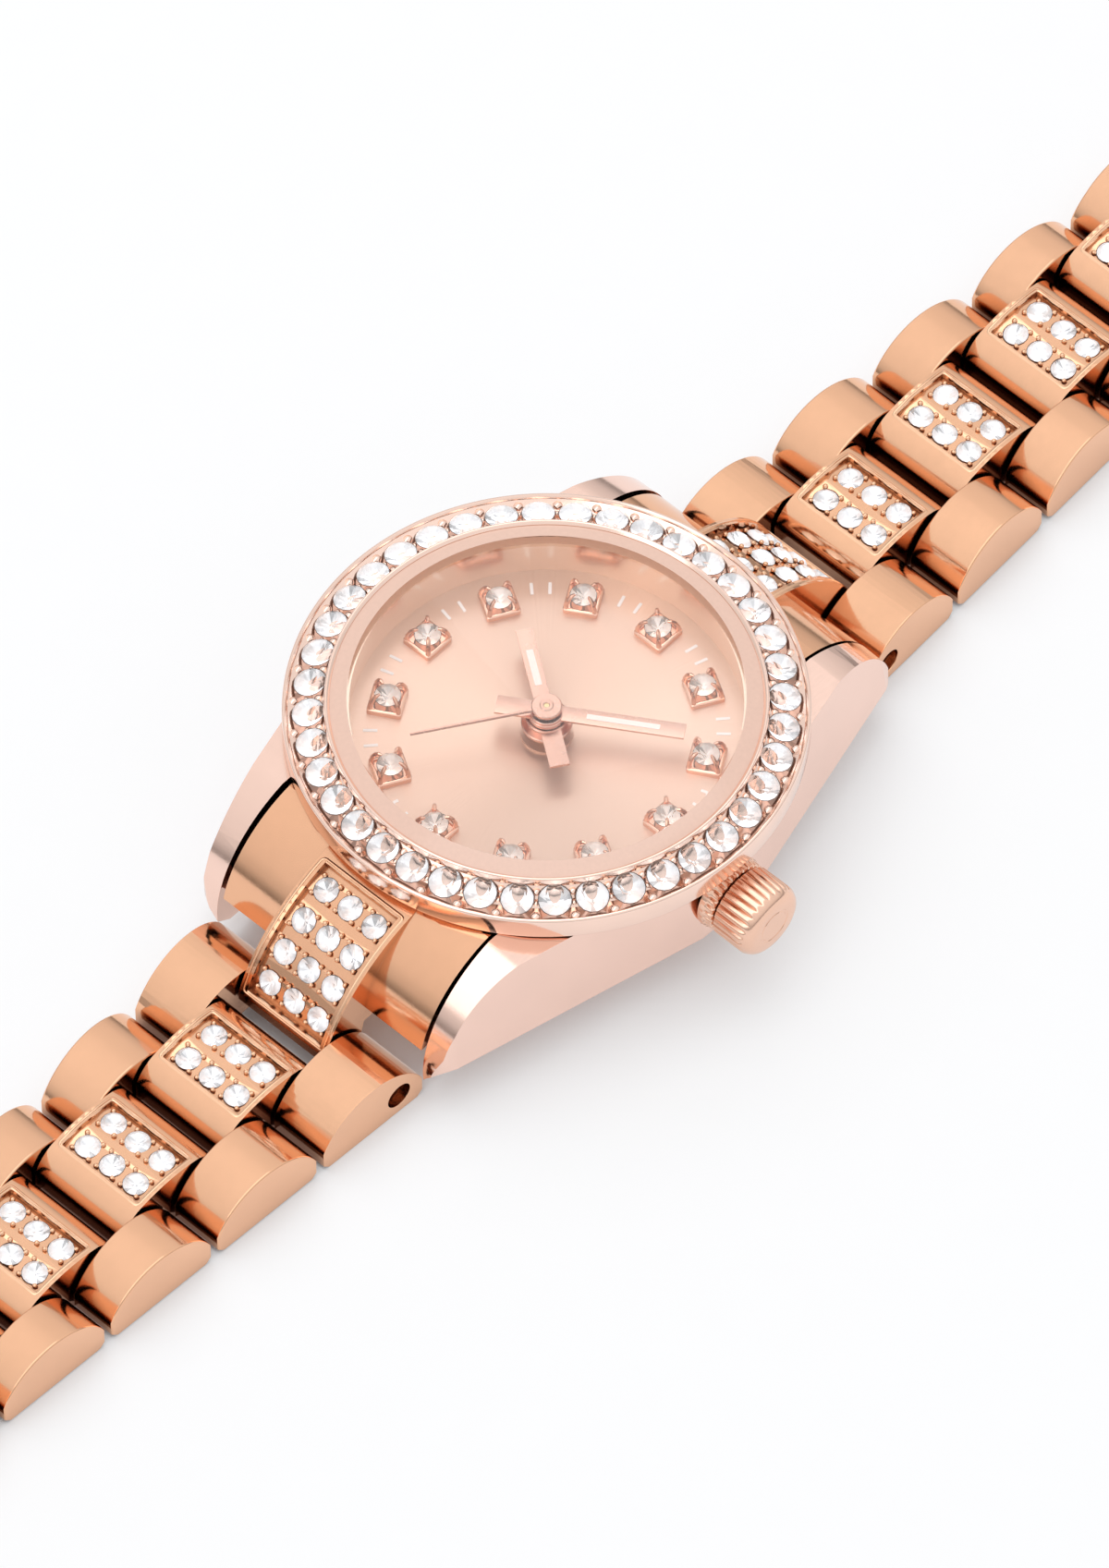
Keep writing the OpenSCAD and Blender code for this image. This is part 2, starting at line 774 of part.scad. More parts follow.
module battery() {
    edge = 0.35;
    color("silver")
    translate([battery_pos.x, battery_pos.y, plate_low_z - battery_h])
        union() {
            cylinder(r = battery_r - edge, h = battery_h);
            translate([0, 0, edge]) cylinder(r = battery_r, h = battery_h - edge);
        }
}

module crown_tube() {
    color(steel)
    translate([bore_r - 1.6, 0, crown_z])
        rotate([0, 90, 0])
            difference() {
                cylinder(r = tube_r, h = crown_in_x + 1 - bore_r + 1.6, $fn = 48);
                translate([0, 0, -1]) cylinder(r = stem_r + run_fit, h = 9, $fn = 48);
            }
}

// Side outline of the wings of an end link.
module wing_profile() {
    intersection() {
        translate([wing_arc_y, wing_arc_z]) circle(r = wing_arc_r, $fn = 180);
        polygon([
            [wing_arc_y - 2, end_low_z],
            [bar_y + bar_r + 0.4, end_low_z],
            [bar_y + bar_r + 1.1, wing_tip_z],
            [far, wing_tip_z],
            [far, far],
            [wing_arc_y - 2, far]
        ]);
    }
}

// Side outline of the tongue of an end link, with a knuckle round the first link's pin.
module tongue_profile() {
    knuckle_y = outer_y(1) - pin_off;
    knuckle_low = pin_z - pin_r - 0.4;
    intersection() {
        translate([tongue_arc_y, tongue_arc_z]) circle(r = tongue_arc_r, $fn = 180);
        polygon([
            [tongue_arc_y - 2, end_low_z],
            [knuckle_y - pin_r - 1.2, end_low_z],
            [knuckle_y - pin_r - 0.6, knuckle_low],
            [knuckle_y + pin_r + 0.25, knuckle_low],
            [knuckle_y + pin_r + 0.45, tongue_tip_z],
            [tongue_end_y, tongue_tip_z],
            [tongue_end_y, far],
            [tongue_arc_y - 2, far]
        ]);
    }
}

// Wedge that holds the part of the tongue between two angles of its curve.
module tongue_wedge(from, to) {
    translate([tongue_arc_y, tongue_arc_z])
        polygon([
            [0, 0],
            [far * cos(to), far * sin(to)],
            [far * cos(from), far * sin(from)]
        ]);
}

module end_stone_place() {
    for (a = tongue_stone_angles, i = [-1, 0, 1])
        translate([i * stone_step_x, tongue_arc_y, tongue_arc_z])
            rotate([a - 90, 0, 0])
                translate([0, 0, tongue_stone_r])
                    children();
}

module end_link(side) {
    color(rose_dark)
    to_side(side)
    difference() {
        intersection() {
            union() {
                across(end_half_w) wing_profile();
                across(centre_half_w) tongue_profile();
            }
            difference() {
                translate([-far, 0, 0]) cube([2 * far, far, case_top_z - 0.15]);
                translate([0, 0, -1]) cylinder(r = body_r + 0.05, h = far);
            }
        }
        across(centre_half_w - 2 * tray_rim)
            intersection() {
                difference() {
                    translate([tongue_arc_y, tongue_arc_z]) circle(r = tongue_arc_r + 3);
                    translate([tongue_arc_y, tongue_arc_z])
                        circle(r = tongue_arc_r - tongue_tray, $fn = 180);
                }
                tongue_wedge(tongue_tray_from, tongue_tray_to);
            }
        end_stone_place() stone_seat(link_stone_r);
        cross_pin(bar_r + run_fit, far, bar_y, bar_z);
        cross_pin(pin_r + run_fit, far, row_y(1) - pitch + pin_off, pin_z);
    }
}

module end_link_stones() {
    color(stone_tone)
    for (side = [6, 12])
        to_side(side)
            end_stone_place() stone(link_stone_r);
}

module spring_bars() {
    color(steel)
    for (side = [6, 12])
        to_side(side)
            union() {
                cross_pin(bar_r, end_half_w, bar_y, bar_z);
                cross_pin(bar_tip_r, lug_gap / 2 + bar_tip_len, bar_y, bar_z);
            }
}

// Flat hand along +X with a slot between two shares of its length.
module hand_blade(len, tail, w, hub_r, slot_from, slot_to) {
    difference() {
        linear_extrude(hand_t)
            union() {
                translate([0, -w / 2]) square([len, w]);
                translate([-tail, -w * 0.6]) square([tail, w * 1.2]);
                circle(r = hub_r);
            }
        translate([len * slot_from, -slot_w / 2, hand_t * 0.4])
            cube([len * (slot_to - slot_from), slot_w, 1]);
    }
}

module hour_hand() {
    hub_r = hour_tube_r + 0.4;
    color(rose_dark)
    rotate([0, 0, clock(hour_angle)])
        difference() {
            union() {
                translate([0, 0, hour_z])
                    hand_blade(hour_len, hour_tail, hour_w, hub_r, 0.35, 0.76);
                translate([0, 0, hour_z - 0.5]) cylinder(r = hub_r - 0.1, h = 0.55);
                translate([0, 0, hour_z - 0.5]) cylinder(r = hub_r + 0.25, h = 0.2);
            }
            translate([0, 0, hour_z - 1]) cylinder(r = hour_tube_r, h = 3);
        }
}

module minute_hand() {
    hub_r = cannon_r + 0.45;
    color(rose_dark)
    rotate([0, 0, clock(minute_angle)])
        difference() {
            union() {
                translate([0, 0, minute_z])
                    hand_blade(minute_len, minute_tail, minute_w, hub_r, 0.29, 0.82);
                translate([0, 0, minute_z - 0.2]) cylinder(r = hub_r + 0.1, h = 0.25);
            }
            translate([0, 0, minute_z - 1]) cylinder(r = cannon_r, h = 3);
        }
}

module seconds_hand() {
    hub_r = 0.87;
    hub_h = 0.22;
    color(rose_dark)
    rotate([0, 0, clock(seconds_angle)])
        difference() {
            union() {
                translate([0, -seconds_w / 2, seconds_z]) cube([seconds_len, seconds_w, 0.12]);
                translate([0, 0, seconds_z]) cylinder(r = hub_r, h = hub_h, $fn = 64);
                translate([0, 0, seconds_z - 0.2]) cylinder(r = 0.42, h = 0.3, $fn = 48);
            }
            translate([0, 0, seconds_z - 1]) cylinder(r = arbor_r, h = 3, $fn = 48);
        }
}

module hour_wheel() {
    disc_z = motion_pinion_z + 0.08;
    color(brass_tone)
    difference() {
        union() {
            translate([0, 0, disc_z]) toothed(hour_wheel_r, 32, wheel_t);
            translate([0, 0, disc_z]) cylinder(r = hour_tube_r, h = hour_z + hand_t - disc_z);
        }
        translate([0, 0, disc_z - 1]) cylinder(r = cannon_r + run_fit, h = far);
    }
}

module cannon_pinion() {
    color(brass_tone)
    difference() {
        union() {
            translate([0, 0, centre_wheel_z]) toothed(centre_wheel_r, 40, wheel_t);
            translate([0, 0, centre_wheel_z])
                cylinder(r = cannon_r, h = minute_z + hand_t - centre_wheel_z);
            translate([0, 0, recess_z + 0.05]) toothed(cannon_pinion_r, 12, wheel_t);
        }
        translate([0, 0, centre_wheel_z - 1]) cylinder(r = arbor_r + run_fit, h = far);
    }
}

// Arbor with turned-down pivots, between bridge and plate.
module arbor(r) {
    low = bridge_top_z + 0.05;
    translate([0, 0, low]) cylinder(r = r, h = plate_low_z - 0.05 - low, $fn = 32);
    translate([0, 0, bridge_top_z - 0.15])
        cylinder(r = pivot_r, h = plate_low_z - bridge_top_z + 0.3, $fn = 32);
}

module seconds_wheel() {
    color(brass_tone)
    union() {
        translate([0, 0, bridge_top_z - 0.15])
            cylinder(r = pivot_r, h = 1, $fn = 32);
        translate([0, 0, bridge_top_z + 0.05])
            cylinder(r = arbor_r, h = seconds_z + 0.2 - bridge_top_z - 0.05, $fn = 32);
        translate([0, 0, second_wheel_z]) toothed(centre_wheel_r, 30, wheel_t);
    }
}

module intermediate_wheel() {
    color(brass_tone)
    translate([inter_pos.x, inter_pos.y, 0])
        union() {
            arbor(pivot_r + 0.05);
            translate([0, 0, second_wheel_z - 0.05]) toothed(small_pinion_r, 8, wheel_t + 0.1);
            translate([0, 0, bridge_top_z + 0.3]) toothed(inter_wheel_r, 30, wheel_t);
        }
}

module motion_wheel() {
    color(brass_tone)
    difference() {
        translate([motion_pos.x, motion_pos.y, 0])
            union() {
                translate([0, 0, recess_z + 0.05]) toothed(motion_wheel_r, 30, wheel_t);
                translate([0, 0, recess_z + 0.05])
                    toothed(motion_pinion_r, 8, motion_pinion_z + 0.3 - recess_z - 0.05);
            }
        translate([motion_pos.x, motion_pos.y, recess_z - 1])
            cylinder(r = pivot_r + run_fit, h = 4, $fn = 32);
    }
}

module rotor() {
    color("dimgray")
    translate([rotor_pos.x, rotor_pos.y, 0])
        union() {
            arbor(pivot_r + 0.05);
            translate([0, 0, bridge_top_z + 0.28]) toothed(small_pinion_r, 8, wheel_t + 0.04);
            translate([0, 0, bridge_top_z + 0.75]) cylinder(r = magnet_r, h = 0.65);
        }
}

// Fluted cylinder along X from x, with a round edge at its outer end.
module fluted(x, len, edge) {
    difference() {
        translate([x, 0, crown_z])
            rotate([0, 90, 0])
                rotate_extrude()
                    polygon([
                        [0, 0],
                        [crown_r, 0],
                        [crown_r, len - edge],
                        for (a = [15 : 15 : 75]) [crown_r - edge + edge * cos(a), len - edge + edge * sin(a)],
                        [crown_r - edge, len],
                        [0, len]
                    ]);
        for (i = [0 : flute_n - 1])
            translate([x - 1, 0, crown_z])
                rotate([i * 360 / flute_n, 0, 0])
                    translate([0, crown_r + flute_r * 0.35, 0])
                        rotate([0, 90, 0])
                            cylinder(r = flute_r, h = len + 1 - edge * 0.6, $fn = 16);
    }
}

module crown() {
    knob_x = crown_in_x + crown_ring_len + crown_groove;
    edge = 0.45;
    color(rose)
    difference() {
        union() {
            fluted(crown_in_x, crown_ring_len, 0.1);
            translate([crown_in_x + 0.1, 0, crown_z])
                rotate([0, 90, 0])
                    cylinder(r = crown_r - 0.4, h = crown_ring_len + crown_groove + 0.5);
            fluted(knob_x, crown_knob_len, edge);
        }
        translate([crown_in_x - 1, 0, crown_z])
            rotate([0, 90, 0])
                cylinder(r = tube_r + run_fit, h = 1 + 1 + crown_pull + 0.1, $fn = 48);
        translate([crown_in_x - 1, 0, crown_z])
            rotate([0, 90, 0])
                cylinder(r = stem_r, h = 1 + crown_ring_len + crown_groove + 1.4, $fn = 48);
    }
}

module stem() {
    stem_end = crown_in_x + crown_ring_len + crown_groove + 1.4;
    start_x = lever_x - 0.7;
    color(steel)
    difference() {
        translate([start_x, 0, crown_z])
            rotate([0, 90, 0])
                cylinder(r = stem_r, h = stem_end - start_x, $fn = 48);
        translate([lever_x - lever_t / 2 - 0.02, 0, crown_z])
            rotate([0, 90, 0])
                difference() {
                    cylinder(r = stem_r + 1, h = lever_t + 0.04, $fn = 48);
                    translate([0, 0, -1]) cylinder(r = stem_r * 0.6, h = 3, $fn = 48);
                }
    }
}

module setting_lever() {
    color(steel)
    difference() {
        translate([lever_x - lever_t / 2, -1, bridge_z + 0.4])
            cube([lever_t, 2, plate_low_z - bridge_z - 0.45]);
        translate([lever_x - 1, 0, crown_z])
            rotate([0, 90, 0])
                cylinder(r = stem_r * 0.6 + run_fit, h = 2, $fn = 48);
        translate([lever_x - 1, -stem_r * 0.6 - run_fit, crown_z])
            cube([2, 2 * (stem_r * 0.6 + run_fit), 2]);
    }
}

// Side outline of a link, centred on y = 0: round top, flat foot.
module link_profile() {
    intersection() {
        translate([0, link_centre_z]) circle(r = link_r, $fn = 120);
        link_foot();
    }
}

// What lies between a link's ends, over its bevelled foot.
module link_foot() {
    polygon([
        [-link_half + link_bevel, 0],
        [link_half - link_bevel, 0],
        [link_half, link_bevel],
        [link_half, far],
        [-link_half, far],
        [-link_half, link_bevel]
    ]);
}

// Side outline of a centre link, flatter on top and fuller at its shoulders.
module centre_profile() {
    intersection() {
        translate([0, tray_centre_z]) circle(r = tray_arc_r, $fn = 180);
        link_foot();
        union() {
            translate([-link_half, 0]) square([2 * link_half, shoulder_z + 0.4]);
            translate([0.2 - tray_half_len, 0]) square([2 * tray_half_len - 0.4, far]);
            for (s = [-1, 1])
                translate([s * shoulder_y, shoulder_z]) circle(r = shoulder_r, $fn = 120);
        }
    }
}

// Room above the curved floor of a stone bed.
module bed_room() {
    bed_len = tray_half_len - tray_rim;
    intersection() {
        translate([-bed_len, 0]) square([2 * bed_len, far]);
        difference() {
            translate([0, tray_centre_z]) circle(r = tray_arc_r + 3);
            translate([0, tray_centre_z]) circle(r = tray_arc_r - tray_depth, $fn = 180);
        }
    }
}

// Link pin that ends a little short of the blind holes in the outer links.
module link_pin(outer_half, y) {
    cross_pin(pin_r, outer_half - pin_inset - 0.05, y, pin_z);
}

// Plan outline of the right-hand outer link of row k, tapering towards the clasp.
module outer_plan(k) {
    near = outer_y(k) - link_half;
    tip = outer_y(k) + link_half;
    polygon([[outer_in, near], [half_w(near), near], [half_w(tip), tip], [outer_in, tip]]);
}

module outer_links(side, k) {
    color(rose_dark)
    to_side(side)
    union() {
        for (flip = [0, 1])
            mirror([flip, 0, 0])
                difference() {
                    intersection() {
                        translate([0, outer_y(k), 0]) across(far) link_profile();
                        linear_extrude(far) outer_plan(k);
                    }
                    for (s = [-1, 1])
                        translate([0, outer_y(k) + s * pin_off, pin_z])
                            rotate([0, 90, 0])
                                cylinder(r = pin_r + seat_fit, h = half_w(outer_y(k) + s * pin_off) - pin_inset, $fn = 48);
                    if (k == 1)
                        translate([half_w(outer_y(1)) - pin_inset, outer_y(1) - pin_off, pin_z])
                            rotate([0, 90, 0])
                                cylinder(r = open_hole_r, h = 5, $fn = 48);
                }
        for (s = [-1, 1])
            link_pin(half_w(outer_y(k) + s * pin_off), outer_y(k) + s * pin_off);
    }
}

module link_stone_place() {
    for (i = [-1, 0, 1], j = [-1, 1])
        translate([i * stone_step_x, j * stone_step_y / 2, link_stone_z])
            children();
}

module centre_link(side, k) {
    set = k <= stone_rows;
    to_side(side)
    translate([0, row_y(k), 0]) {
        color(rose_dark)
        difference() {
            across(centre_half_w) centre_profile();
            if (set)
                across(centre_half_w - tray_rim) bed_room();
            if (set)
                link_stone_place() stone_seat(link_stone_r);
            for (s = [-1, 1])
                cross_pin(pin_r + run_fit, far, s * pin_off, pin_z);
        }
        if (set)
            color(stone_tone)
            link_stone_place() stone(link_stone_r);
    }
}

// Pair of ears that straddles the last centre link, joined behind it.
module clasp_ears(plate_end_y) {
    difference() {
        union() {
            difference() {
                translate([0, clasp_start_y + link_half, 0]) across(narrow_half_w) link_profile();
                translate([-outer_in, 0, -1]) cube([2 * outer_in, clasp_join_y, far]);
            }
            translate([-narrow_half_w + cover_wall, clasp_join_y, 0])
                cube([2 * (narrow_half_w - cover_wall), plate_end_y - clasp_join_y, clasp_plate_t]);
        }
        cross_pin(pin_r + seat_fit, narrow_half_w - pin_inset, last_pin_y, pin_z);
    }
}

module clasp_base() {
    knuckle_half = 2.4;
    hook_y = clasp_end_y - 9;
    color(rose_dark)
    to_side(6)
    difference() {
        union() {
            clasp_ears(clasp_end_y - 2.1);
            across(knuckle_half)
                union() {
                    translate([clasp_end_y, cover_pin_z]) circle(r = 1.2, $fn = 48);
                    translate([clasp_end_y - 2.4, 0]) square([1.9, clasp_plate_t]);
                    translate([clasp_end_y - 1.2, 0]) square([0.7, cover_pin_z]);
                }
            translate([-1, hook_y, 0]) cube([2, 0.8, 2.2]);
            translate([-1, hook_y - 0.9, 1.6]) cube([2, 1.2, 0.6]);
        }
        cross_pin(cover_pin_r, far, clasp_end_y, cover_pin_z);
    }
}

module clasp_pins() {
    color(steel)
    to_side(6)
    union() {
        cross_pin(cover_pin_r, narrow_half_w - 0.3, clasp_end_y, cover_pin_z);
        link_pin(narrow_half_w, last_pin_y);
    }
}

module clasp_cover() {
    cover_start = clasp_start_y + body_len + 0.35;
    cover_low = 0.3;
    knuckle_gap = 2.55;
    tip = clasp_end_y + 1.6;
    color(rose_dark)
    to_side(6)
    difference() {
        intersection() {
            translate([-narrow_half_w, cover_start, cover_low])
                cube([2 * narrow_half_w, tip - cover_start, cover_h - cover_low]);
            rotate([90, 0, 180])
                linear_extrude(far * 2)
                    translate([0, cover_h - cover_crown_r]) circle(r = cover_crown_r, $fn = 180);
        }
        translate([-narrow_half_w + cover_wall - 0.12, cover_start + cover_wall, -1])
            cube([2 * (narrow_half_w - cover_wall + 0.12),
                clasp_end_y - 1.6 - cover_start - cover_wall, cover_hollow_z + 1]);
        translate([-narrow_half_w + cover_wall - 0.12, cover_start - 1, -1])
            cube([2 * (narrow_half_w - cover_wall + 0.12), cover_wall + 2, clasp_plate_t + 1.1]);
        translate([-knuckle_gap, clasp_end_y - 1.7, -1])
            cube([2 * knuckle_gap, 5, cover_pin_z + 1.3 + 1]);
        translate([-far, clasp_end_y + 0.9, -1])
            cube([2 * far, 5, cover_pin_z - 0.2]);
        cross_pin(cover_pin_r + run_fit, narrow_half_w - 0.25, clasp_end_y, cover_pin_z);
    }
}

module catch_link() {
    tip_y = clasp_start_y + link_half + catch_len;
    half = narrow_half_w - 2.5;
    color(rose_dark)
    to_side(12)
    union() {
        difference() {
            union() {
                difference() {
                    translate([0, clasp_start_y + link_half, 0]) across(narrow_half_w) link_profile();
                    translate([-outer_in, 0, -1]) cube([2 * outer_in, clasp_join_y, far]);
                }
                translate([-half, clasp_join_y, 0]) cube([2 * half, tip_y - clasp_join_y, catch_t]);
                across(half)
                    translate([tip_y, catch_t]) circle(r = catch_t, $fn = 48);
            }
            cross_pin(pin_r + seat_fit, narrow_half_w - pin_inset, last_pin_y, pin_z);
        }
        link_pin(narrow_half_w, last_pin_y);
    }
}

case_middle();
case_back();
back_gasket();
bezel();
bezel_stones();
crystal();
rehaut_ring();
dial();
hour_settings();
hour_stones();
movement_ring();
mainplate();
train_bridge();
coil();
battery();
crown_tube();
end_link(12);  // end_link_12
end_link(6);  // end_link_6
end_link_stones();
spring_bars();
hour_hand();
minute_hand();
seconds_hand();
hour_wheel();
cannon_pinion();
seconds_wheel();
intermediate_wheel();
motion_wheel();
rotor();
crown();
stem();
setting_lever();
for (k = [1 : rows]) {
    outer_links(6, k);
    centre_link(6, k);
    outer_links(12, k);
    centre_link(12, k);
}
clasp_base();
clasp_pins();
clasp_cover();
catch_link();
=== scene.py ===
"""Dresses a ladies' wristwatch: a stone-set bezel and a stone-set link bracelet in rose gold.

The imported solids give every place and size. Each class below builds the shown surfaces of one
sub-assembly round those solids, in millimetres, and hands them over in metres.
"""

import logging
import math
import random
from dataclasses import dataclass
from enum import Enum
from itertools import product, repeat
from typing import Callable, Iterable, Sequence

import bmesh
import bpy
from bpy.types import Material, Mesh, Node, NodeSocket as Socket, Object
from mathutils import Matrix, Vector


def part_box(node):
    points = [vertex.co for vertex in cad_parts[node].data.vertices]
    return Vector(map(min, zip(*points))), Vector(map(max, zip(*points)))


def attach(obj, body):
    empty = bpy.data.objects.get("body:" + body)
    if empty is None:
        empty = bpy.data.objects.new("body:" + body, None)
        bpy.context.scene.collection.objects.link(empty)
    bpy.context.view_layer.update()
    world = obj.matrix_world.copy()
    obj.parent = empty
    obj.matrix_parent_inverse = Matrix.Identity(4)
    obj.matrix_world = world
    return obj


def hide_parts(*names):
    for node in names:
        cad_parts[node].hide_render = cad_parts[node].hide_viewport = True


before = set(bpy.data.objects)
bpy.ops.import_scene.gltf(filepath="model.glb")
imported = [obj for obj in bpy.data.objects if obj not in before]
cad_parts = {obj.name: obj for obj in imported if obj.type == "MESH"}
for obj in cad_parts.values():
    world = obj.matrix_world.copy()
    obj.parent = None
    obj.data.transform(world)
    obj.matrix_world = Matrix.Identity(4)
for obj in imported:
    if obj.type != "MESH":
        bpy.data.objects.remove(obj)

MM = 0.001
LOG = logging.getLogger("watch")

# Edges sharper than this many degrees are creased and rounded on the copied solids.
CREASE = 28.0
# The four corners round a stone, where its beads stand, as shares of the reach.
CORNERS = tuple(product((-1, 1), repeat=2))
BEAD_REACH = 0.62

Colour = tuple[float, float, float]
Point = tuple[float, float, float]
Flat = tuple[float, float]
Surface = Callable[[float, float, float], Vector]
Feed = Socket | float | Sequence[float]


class Side(Enum):
    """The two halves of the bracelet, with the sign of their Y."""

    TWELVE = 1
    SIX = -1

    @property
    def tag(self) -> str:
        """The number that the node names use."""
        return "12" if self is Side.TWELVE else "6"


def span(node: str) -> tuple[Vector, Vector]:
    """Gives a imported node's corners in millimetres.

    Args:
        node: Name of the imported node.

    Returns:
        Its lowest and highest corner.
    """
    low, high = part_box(node)
    return low / MM, high / MM


def turned(degrees: float, axis: str = "Z") -> Matrix:
    """Gives a turn about an axis."""
    return Matrix.Rotation(math.radians(degrees), 4, axis)


def around(r: float, z: float, count: int, shift: float = 0.0) -> list[Point]:
    """Gives even points on a level circle.

    Args:
        r: Its radius.
        z: Its height.
        count: Number of points.
        shift: Share of a step by which the first point is turned.

    Returns:
        The points, anticlockwise.
    """
    angles = (2 * math.pi * (i + shift) / count for i in range(count))
    return [(r * math.cos(a), r * math.sin(a), z) for a in angles]


def arc(centre: Flat, r: float, start: float, end: float, steps: int) -> list[Flat]:
    """Gives points on an arc, both ends included, with angles in degrees."""
    angles = (math.radians(start + (end - start) * i / steps) for i in range(steps + 1))
    return [(centre[0] + r * math.cos(a), centre[1] + r * math.sin(a)) for a in angles]


def rounded_loop(half_x: float, half_y: float, corner: float, divisions: int = 1) -> list[Flat]:
    """Gives a rectangle with round corners, anticlockwise.

    Args:
        half_x: Half its width.
        half_y: Half its height.
        corner: Radius of its corners.
        divisions: Number of steps into which each side is cut, to let it follow a curved surface.

    Returns:
        Its points.
    """
    quarters = [
        arc((sx * (half_x - corner), sy * (half_y - corner)), corner, start, start + 90, 3)
        for sx, sy, start in ((1, 1, 0), (-1, 1, 90), (-1, -1, 180), (1, -1, 270))
    ]
    out: list[Flat] = []
    for quarter, after in zip(quarters, quarters[1:] + quarters[:1]):
        (px, py), (qx, qy) = quarter[-1], after[0]
        shares = [k / divisions for k in range(1, divisions)]
        out += quarter + [(px + (qx - px) * share, py + (qy - py) * share) for share in shares]
    return out


def bar(near: float, far: float, half: float, low: float, high: float) -> list[list[Point]]:
    """Gives the lower and upper outline of a flat bar along X.

    Args:
        near: Where it starts.
        far: Where it ends.
        half: Half its width.
        low: Height of its underside.
        high: Height of its top.

    Returns:
        Both outlines.
    """
    return [[(near, -half, z), (far, -half, z), (far, half, z), (near, half, z)] for z in (low, high)]


def added(name: str, data: bpy.types.ID) -> Object:
    """Adds an object to the scene.

    Args:
        name: Its name.
        data: Its mesh, lamp or camera.

    Returns:
        The new object.
    """
    made = bpy.data.objects.new(name, data)
    bpy.context.scene.collection.objects.link(made)
    return made


class Shape:
    """Closed surfaces gathered in millimetres and made into one mesh."""

    def __init__(self) -> None:
        """Starts empty."""
        self.points: list[Vector] = []
        self.faces: list[tuple[int, ...]] = []
        self.slots: list[int] = []

    def add(
        self, points: Iterable[Sequence[float]], faces: Iterable[Sequence[int]],
        place: Matrix | None = None, slot: int = 0,
    ) -> None:
        """Adds points and the faces between them.

        Args:
            points: Corners in millimetres.
            faces: Tuples of indices into points.
            place: Where to put them.
            slot: Material slot of the faces.
        """
        start = len(self.points)
        flip = place is not None and place.determinant() < 0
        self.points += [Vector(p) if place is None else place @ Vector(p) for p in points]
        for f in faces:
            ids = tuple(start + i for i in f)
            self.faces.append(tuple(reversed(ids)) if flip else ids)
            self.slots.append(slot)

    def loft(
        self, loops: Sequence[Sequence[Sequence[float]]], place: Matrix | None = None,
        slot: int = 0, ring: bool = False,
    ) -> "Shape":
        """Joins loops of equal length, and closes the ends.

        Args:
            loops: Loops of points; each runs anticlockwise seen from the last one's side.
            place: Where to put the loft.
            slot: Material slot.
            ring: True joins the last loop to the first, in place of the ends.

        Returns:
            The shape itself.
        """
        rows, count = len(loops), len(loops[0])
        points = [p for loop in loops for p in loop]
        faces: list[tuple[int, ...]] = []
        for j in range(rows if ring else rows - 1):
            k = (j + 1) % rows
            for i in range(count):
                n = (i + 1) % count
                faces.append((j * count + i, j * count + n, k * count + n, k * count + i))
        if not ring:
            faces.append(tuple(reversed(range(count))))
            faces.append(tuple((rows - 1) * count + i for i in range(count)))
        self.add(points, faces, place, slot)
        return self

    def lathe(
        self, profile: Sequence[Flat], steps: int, place: Matrix | None = None, closed: bool = False
    ) -> "Shape":
        """Turns a profile round Z.

        Args:
            profile: Points as radius and height, anticlockwise, so that faces look outward.
            steps: Number of facets round the axis.
            place: Where to put the turned body.
            closed: True for a ring, whose profile closes on itself.

        Returns:
            The shape itself.
        """
        return self.loft([around(r, z, steps) for r, z in profile], place, ring=closed)

    def ball(self, centre: Sequence[float], r: float, flat: float = 1.0) -> None:
        """Adds a small round bead.

        Args:
            centre: Its middle.
            r: Its radius.
            flat: Height as a share of the radius.
        """
        rings = 5
        tilts = (math.radians(-80 + 160 * i / rings) for i in range(rings + 1))
        profile = [(max(r * math.cos(t), r * 0.02), r * flat * math.sin(t)) for t in tilts]
        self.lathe(profile, 10, Matrix.Translation(Vector(centre)))

    def piece(
        self, name: str, body: str, finishes: Sequence[Material], slot: str,
        smooth_deg: float = 30.0, edge: float = 0.0, replaces: Sequence[str] = (),
    ) -> None:
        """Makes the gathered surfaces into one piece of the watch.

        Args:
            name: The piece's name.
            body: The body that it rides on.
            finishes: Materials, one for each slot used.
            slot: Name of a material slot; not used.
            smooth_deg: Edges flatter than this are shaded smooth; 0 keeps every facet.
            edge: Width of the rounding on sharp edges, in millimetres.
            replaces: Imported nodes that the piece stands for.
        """
        mesh = bpy.data.meshes.new(name)
        mesh.from_pydata([p * MM for p in self.points], [], self.faces)
        mesh.update()
        show(mesh, body, finishes, self.slots, smooth_deg, edge, replaces)


def show(
    mesh: Mesh, body: str, finishes: Sequence[Material], slots: Iterable[int],
    crease: float, edge: float, replaces: Sequence[str],
) -> Object:
    """Puts a mesh in the scene as a piece of the watch.

    Args:
        mesh: Its mesh, whose name it takes.
        body: The body that it rides on.
        finishes: Materials, one for each slot used.
        slots: Number of the material of each face.
        crease: Edges flatter than this are shaded smooth; 0 keeps every facet.
        edge: Width of the rounding on sharp edges, in millimetres.
        replaces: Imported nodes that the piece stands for.

    Returns:
        The new object.
    """
    mesh.materials.clear()
    for m in finishes:
        mesh.materials.append(m)
    for poly, number in zip(mesh.polygons, slots):
        poly.material_index = number
        poly.use_smooth = crease > 0
    if crease > 0:
        mesh.set_sharp_from_angle(angle=math.radians(crease))
    made = added(mesh.name, mesh)
    if edge > 0:
        bevel = made.modifiers.new("edges", "BEVEL")
        bevel.width = edge * MM
        bevel.segments = 3
        bevel.limit_method = "ANGLE"
        bevel.angle_limit = math.radians(crease)
        bevel.harden_normals = True
    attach(made, body)
    if replaces:
        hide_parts(*replaces)
    LOG.info("%s: %d faces on %s", made.name, len(mesh.polygons), body)
    return made


